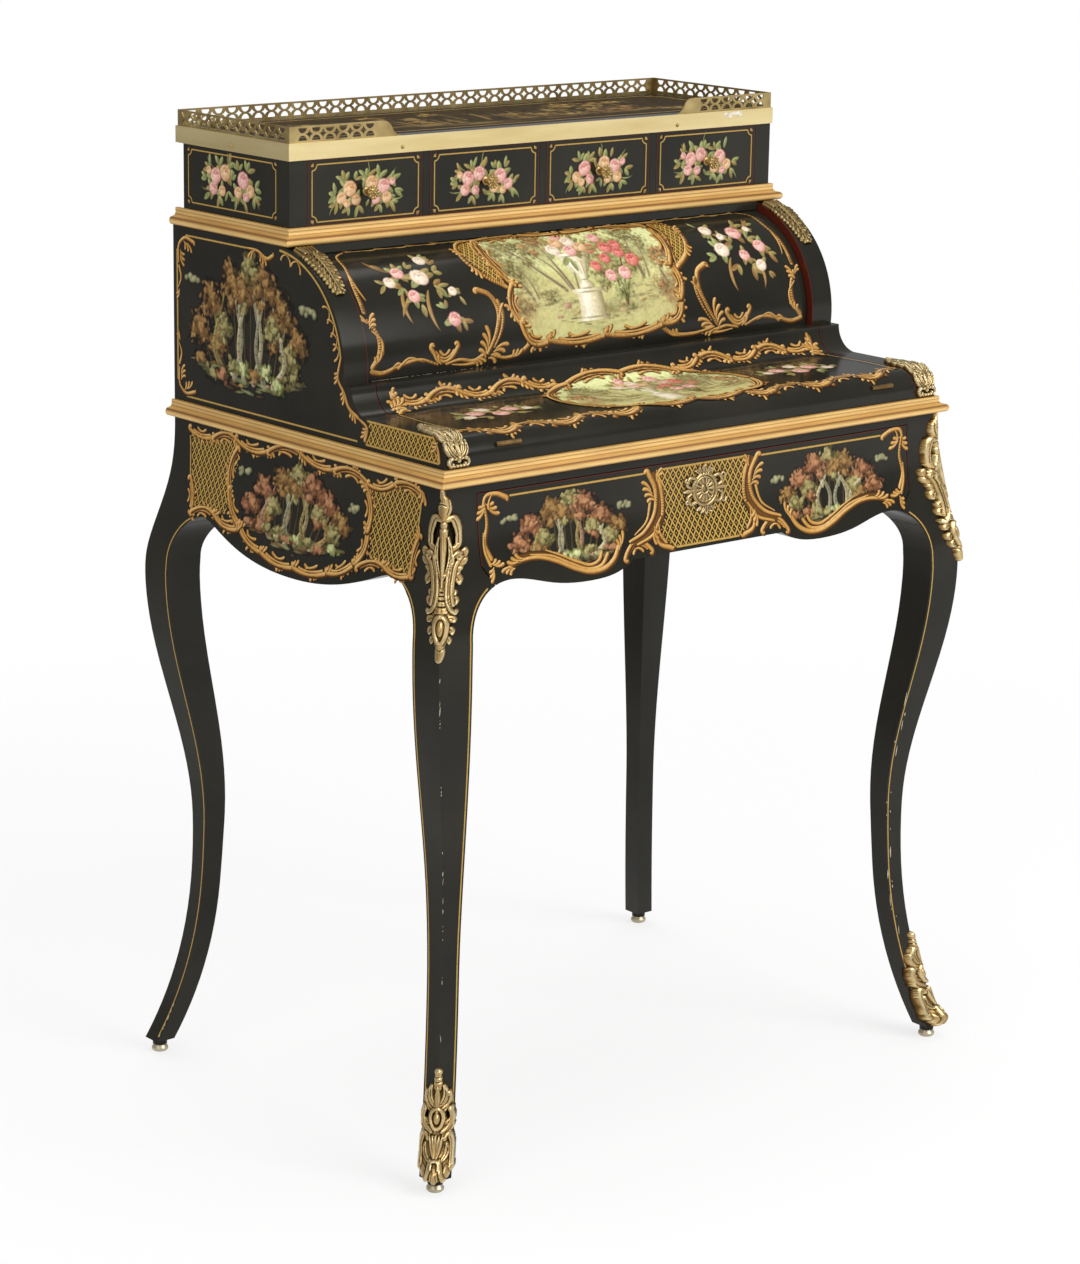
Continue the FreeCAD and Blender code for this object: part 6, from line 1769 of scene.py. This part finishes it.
def makeUpperMounts():
    profile = alongProfile(arcPoints((rollY, rollZ), sideRadius, upperMount["from"], upperMount["to"], 60))
    length = profile.length
    cast = startRelief(-15, 15, 0, length)
    t = np.linspace(0, 1, 20)
    plate(cast, [(2, 5), (14, 8.5), (36, 11), (60, 12.5), (length - 3, 13)], 1.8)
    for row in range(11):
        share = row / 10
        base = 4 + (length - 26) * share
        for sign in (1, -1):
            reach = 7 + 6 * share ** 0.7
            frond(cast, complex(sign * 0.8, base + 19), complex(sign * reach, base + 1), 4.8 + 1.0 * share,
                  2.3 + 0.6 * (row % 2), -sign * 0.22)
            frond(cast, complex(sign * 0.5, base + 17), complex(sign * reach * 0.55, base - 3),
                  4.0 + 0.8 * share, 2.9 + 0.5 * (row % 2), -sign * 0.16)
    strand(cast, 1j * (2 + (length - 6) * t), np.linspace(1.8, 1.4, 8), 3.8)
    cabochon(cast, 4j, 4.2, 5, 3.8)
    for across in (-9, -4.5, 0, 4.5, 9):
        strand(cast, [complex(across * 0.8, length - 16), complex(across, length - 4)], [1.8, 2.6], 3.6)
    reliefs = [(cast, sideEdge(sign, profile), False) for sign in (-1, 1)]
    castMount("upper_mounts_chased", "upper_mounts", reliefs, edgeBronze)


lowerMount = {
    "reach": 62,
    "leaves": ((9, 12.5, 16), (22, 12.5, 17), (36, 11, 16), (50, 8.5, 14), (62, 5.5, 11)),
}


def makeLowerMounts():
    start = nodeBox("lower_mounts")[0][2]
    back = frontY + lowerMount["reach"]
    upright = [(frontY, z) for z in np.linspace(start, roundCentre[1] - 1, 6)]
    level = [(y, flapTop) for y in np.linspace(roundCentre[0] + 2, back, 16)]
    profile = alongProfile(upright + arcPoints(roundCentre, frontRound, 0, 90, 40) + level)
    length = profile.length
    cast = startRelief(-16, 16, 0, length)
    for sign in (1, -1):
        volute(cast, complex(sign * 8.5, 5.5), 4.6, 2.4, 4.6, math.pi / 2, -sign)
        for base, reach, size in lowerMount["leaves"]:
            frond(cast, complex(sign * 1.5, base), complex(sign * reach, base + size), 3.6, 3.8, -sign * 0.18)
            frond(cast, complex(sign * 1.5, base + 3), complex(sign * reach * 0.6, base + size + 3),
                  2.8, 4.4, -sign * 0.12)
        for across in (2, 6, 10):
            cabochon(cast, complex(sign * across, 3), 1.9, 2.2, 4.4)
    strand(cast, 1j * np.linspace(8, length - 3, 20), np.linspace(2.4, 1.4, 8), 5.0)
    groove(cast, 1j * np.linspace(12, length - 8, 20), 0.6, 1.4)
    cabochon(cast, 1j * (length - 4), 3.4, 4.2, 4.6)
    castMount("lower_mounts_chased", "lower_mounts",
              [(cast, sideEdge(sign, profile), False) for sign in (-1, 1)], dimmedBronze)


escutcheon = {"rim": 16, "petals": 14, "keyhole": 0.7}  # the keyhole is a low solid floor that the relief colouring paints dark: painted shade in place of the open hole


def makeEscutcheon():
    p = escutcheon
    low, high = nodeBox("escutcheon")
    middle = complex((low[0] + high[0]) / 2, (low[2] + high[2]) / 2)
    cast = startRelief(-33, 33, -27, 27, 0.55)
    ring(cast, 0j, p["rim"], p["rim"], 2.2, 3.2)
    ring(cast, 0j, 12.8, 12.8, 1.0, 2.2)
    for n in range(p["petals"]):
        turn = 2 * math.pi * n / p["petals"]
        strand(cast, [5.4 * np.exp(1j * turn), 11.4 * np.exp(1j * turn)], [1.1, 2.4], 2.0)
    ring(cast, 0j, 4.4, 4.4, 1.4, 2.6)
    for sign in (1, -1):
        for up in (1, -1):
            arm = smooth([complex(sign * 12, up * 12), complex(sign * 21, up * 13),
                          complex(sign * 24, up * 6), complex(sign * 19, up * 3)], 24)
            strand(cast, arm, [2.2, 2.2, 1.8], 3.0)
            volute(cast, complex(sign * 25, up * 12), 3.6, 1.7, 3.0, 0, sign * up)
            frond(cast, complex(sign * 6, up * 16), complex(sign * 13, up * 20), 2.4, 2.8, 0.15 * sign * up)
        strand(cast, smooth([complex(sign * 17, 0), complex(sign * 24, 0), complex(sign * 29, 0)], 10),
               [2.0, 2.6, 1.6], 3.0)
    for up in (1, -1):
        frond(cast, complex(0, up * 15), complex(0, up * 25), 3.6, 3.4, 0)
        frond(cast, complex(-2, up * 16), complex(-7, up * 23), 2.6, 3.0, 0.15)
        frond(cast, complex(2, up * 16), complex(7, up * 23), 2.6, 3.0, -0.15)
    across, rise = cast["grid"].real, cast["grid"].imag
    # keyhole slot and eye: set low so the relief colouring paints them dark as painted shade
    cast["height"][(abs(across) < 1.9) & (rise > 0) & (rise < 11)] = p["keyhole"]
    cast["height"][abs(cast["grid"]) < 3.2] = p["keyhole"]

    def place(u, v, h, solid):
        return onFront(u + middle.real, v + middle.imag, np.where(solid, 0.9 + 0.8 * h, -1.5))
    castMount("escutcheon_chased", "escutcheon", [(cast, place, False)], dimmedBronze, body="frieze_drawer")


makeKneeMounts()
makeSabots()
makeUpperMounts()
makeLowerMounts()
makeEscutcheon()
print("mounts cast")


# Rosette knobs: one flower of rounded petals on a short neck, copied to each tier drawer

knobShape = {"head": 7.6, "rings": ((10, 5.6, (2.1, 1.5, 1.6), 3.6), (8, 2.9, (1.1, 1.0, 0.9), 2.4)),
             "boss": 1.5, "neck": 3.0, "seat": 5.0}


def addBlob(size, spot, turn=0.0):
    bpy.ops.mesh.primitive_uv_sphere_add(segments=14, ring_count=8, radius=1, location=spot,
                                         rotation=(0, turn, 0), scale=size)
    return bpy.context.object


def makeRosette():
    low, high = nodeBox("tier_drawer_1_knob")
    front, back = low[1], high[1]
    x, z = (low[0] + high[0]) / 2, (low[2] + high[2]) / 2
    bpy.ops.object.select_all(action="DESELECT")
    bpy.ops.mesh.primitive_cylinder_add(vertices=24, radius=knobShape["neck"], depth=back - front - 5,
                                        location=(x, (front + back) / 2 + 2.5, z),
                                        rotation=(math.pi / 2, 0, 0))
    parts = [bpy.context.object]
    for count, reach, size, depth in knobShape["rings"]:
        for n in range(count):
            turn = 2 * math.pi * n / count
            parts.append(addBlob(size, (x + reach * math.cos(turn), front + depth,
                                        z + reach * math.sin(turn)), -turn))
    parts.append(addBlob((knobShape["head"] - 0.8, 2.6, knobShape["head"] - 0.8), (x, front + 5.0, z)))
    parts.append(addBlob((knobShape["boss"], 1.5, knobShape["boss"]), (x, front + 1.6, z)))
    parts.append(addBlob((knobShape["seat"], 1.8, knobShape["seat"]), (x, back - 1.2, z)))
    for part in parts:
        part.select_set(True)
    bpy.context.view_layer.objects.active = parts[0]
    bpy.ops.object.join()
    bpy.ops.object.transform_apply(location=True, rotation=True, scale=True)
    rosette = bpy.context.object
    rosette.scale = (mm, mm, mm)
    bpy.ops.object.transform_apply(location=True, rotation=True, scale=True)
    bpy.ops.object.shade_smooth()
    rosette.data.materials.clear()
    rosette.data.materials.append(knobBrass)
    return rosette, x


def hangKnobs():
    rosette, x = makeRosette()
    for i in range(1, 5):
        low, high = nodeBox(f"tier_drawer_{i}_knob")
        knob = rosette if i == 1 else rosette.copy()
        if i > 1:
            knob.data = rosette.data.copy()
            knob.data.transform(Matrix.Translation((((low[0] + high[0]) / 2 - x) * mm, 0, 0)))
            bpy.context.collection.objects.link(knob)
        knob.name = f"rosette_knob_{i}"
        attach(knob, f"tier_drawer_{i}")
        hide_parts(f"tier_drawer_{i}_knob")


knobBrass = makeBrass("knob_brass", tone("d2b87c"), tone("8a6c3a"), 0.34, 160, (1, 1, 1))
hangKnobs()
print("knobs hung")


# Studio: pale floor that turns white away from the desk, soft lamps and the photograph's view

studio = {"floor": 60.0, "shadow": (0.75, 1.9, 0.72, 1.0), "world": 0.55, "glossWorld": 0.32,
          "dimSide": (-4.0, 4.0, 0.3, 1.0),  # the floor to the left and behind is seen darker in the gloss
          "lamps": (("key", (1.0, -3.2, 2.8), 2.4, 92), ("fill", (-3.2, -1.2, 2.0), 2.4, 26),
                    ("top", (0.2, 0.4, 3.4), 2.6, 36))}
view = {"azimuth": -40.383, "elevation": 14.368, "roll": 0.986, "distance": 3.8294,
        "target": (-0.0079, 0.0192, 0.48), "lens": 100.05, "shift": (-0.0011, -0.0045)}


def makeFloor():
    bpy.ops.object.select_all(action="DESELECT")
    bpy.ops.mesh.primitive_plane_add(size=studio["floor"])
    floor = bpy.context.object
    floor.name = "studio_floor"
    material, nodes, links, shader = startMaterial("studio_floor", 0.9)
    shader.inputs["Base Color"].default_value = (0.92, 0.92, 0.92, 1)
    shader.inputs["Specular IOR Level"].default_value = 0.0
    place = nodes.new("ShaderNodeTexCoord")
    length = nodes.new("ShaderNodeVectorMath")
    length.operation = "LENGTH"
    links.new(place.outputs["Object"], length.inputs[0])
    reach = addRange(nodes, links, length.outputs["Value"], studio["shadow"])
    rays = nodes.new("ShaderNodeLightPath")
    seen = addMath(nodes, links, "MAXIMUM", rays.outputs["Is Camera Ray"],
                   addMath(nodes, links, "MAXIMUM", rays.outputs["Is Glossy Ray"],
                           rays.outputs["Is Transmission Ray"]))
    share = addMath(nodes, links, "MULTIPLY", seen, reach)
    white = nodes.new("ShaderNodeEmission")
    span = addMath(nodes, links, "SUBTRACT", objectAxis(nodes, links, "X"), objectAxis(nodes, links, "Y"))
    side = addRange(nodes, links, span, studio["dimSide"])
    dim = addMath(nodes, links, "MULTIPLY", rays.outputs["Is Glossy Ray"],
                  addMath(nodes, links, "SUBTRACT", 1.0, side))
    links.new(addMath(nodes, links, "SUBTRACT", 1.0, dim), white.inputs["Strength"])
    mix = nodes.new("ShaderNodeMixShader")
    links.new(share, mix.inputs["Fac"])
    links.new(shader.outputs["BSDF"], mix.inputs[1])
    links.new(white.outputs["Emission"], mix.inputs[2])
    links.new(mix.outputs["Shader"], nodes["Material Output"].inputs["Surface"])
    floor.data.materials.append(material)


def makeLamps():
    world = bpy.data.worlds.new("studio")
    bpy.context.scene.world = world
    world.use_nodes = True
    nodes, links = world.node_tree.nodes, world.node_tree.links
    background = nodes["Background"]
    background.inputs["Color"].default_value = (1, 1, 1, 1)
    rays = nodes.new("ShaderNodeLightPath")
    strength = addRange(nodes, links, rays.outputs["Is Camera Ray"], (0, 1, studio["world"], 1))
    gloss = addMath(nodes, links, "MULTIPLY", rays.outputs["Is Glossy Ray"],
                    studio["world"] - studio["glossWorld"])
    links.new(addMath(nodes, links, "SUBTRACT", strength, gloss), background.inputs["Strength"])
    for name, spot, size, power in studio["lamps"]:
        lamp = bpy.data.lights.new(name, "AREA")
        lamp.size = size
        lamp.energy = power
        holder = bpy.data.objects.new(name, lamp)
        holder.location = spot
        holder.rotation_euler = (Vector((0, 0, 0.6)) - Vector(spot)).to_track_quat("-Z", "Y").to_euler()
        bpy.context.collection.objects.link(holder)


def makeCamera():
    azimuth, elevation, roll = (math.radians(view[k]) for k in ("azimuth", "elevation", "roll"))
    away = Vector((math.sin(azimuth) * math.cos(elevation), -math.cos(azimuth) * math.cos(elevation),
                   math.sin(elevation)))
    camera = bpy.data.cameras.new("camera")
    camera.lens = view["lens"]
    camera.shift_x, camera.shift_y = view["shift"]
    holder = bpy.data.objects.new("camera", camera)
    turn = (-away).to_track_quat("-Z", "Y").to_matrix() @ Matrix.Rotation(roll, 3, "Z")
    holder.matrix_world = Matrix.Translation(Vector(view["target"]) + away * view["distance"]) @ turn.to_4x4()
    bpy.context.collection.objects.link(holder)
    bpy.context.scene.camera = holder


makeFloor()
makeLamps()
makeCamera()
bpy.context.scene.view_settings.view_transform = "Standard"
print("studio set")
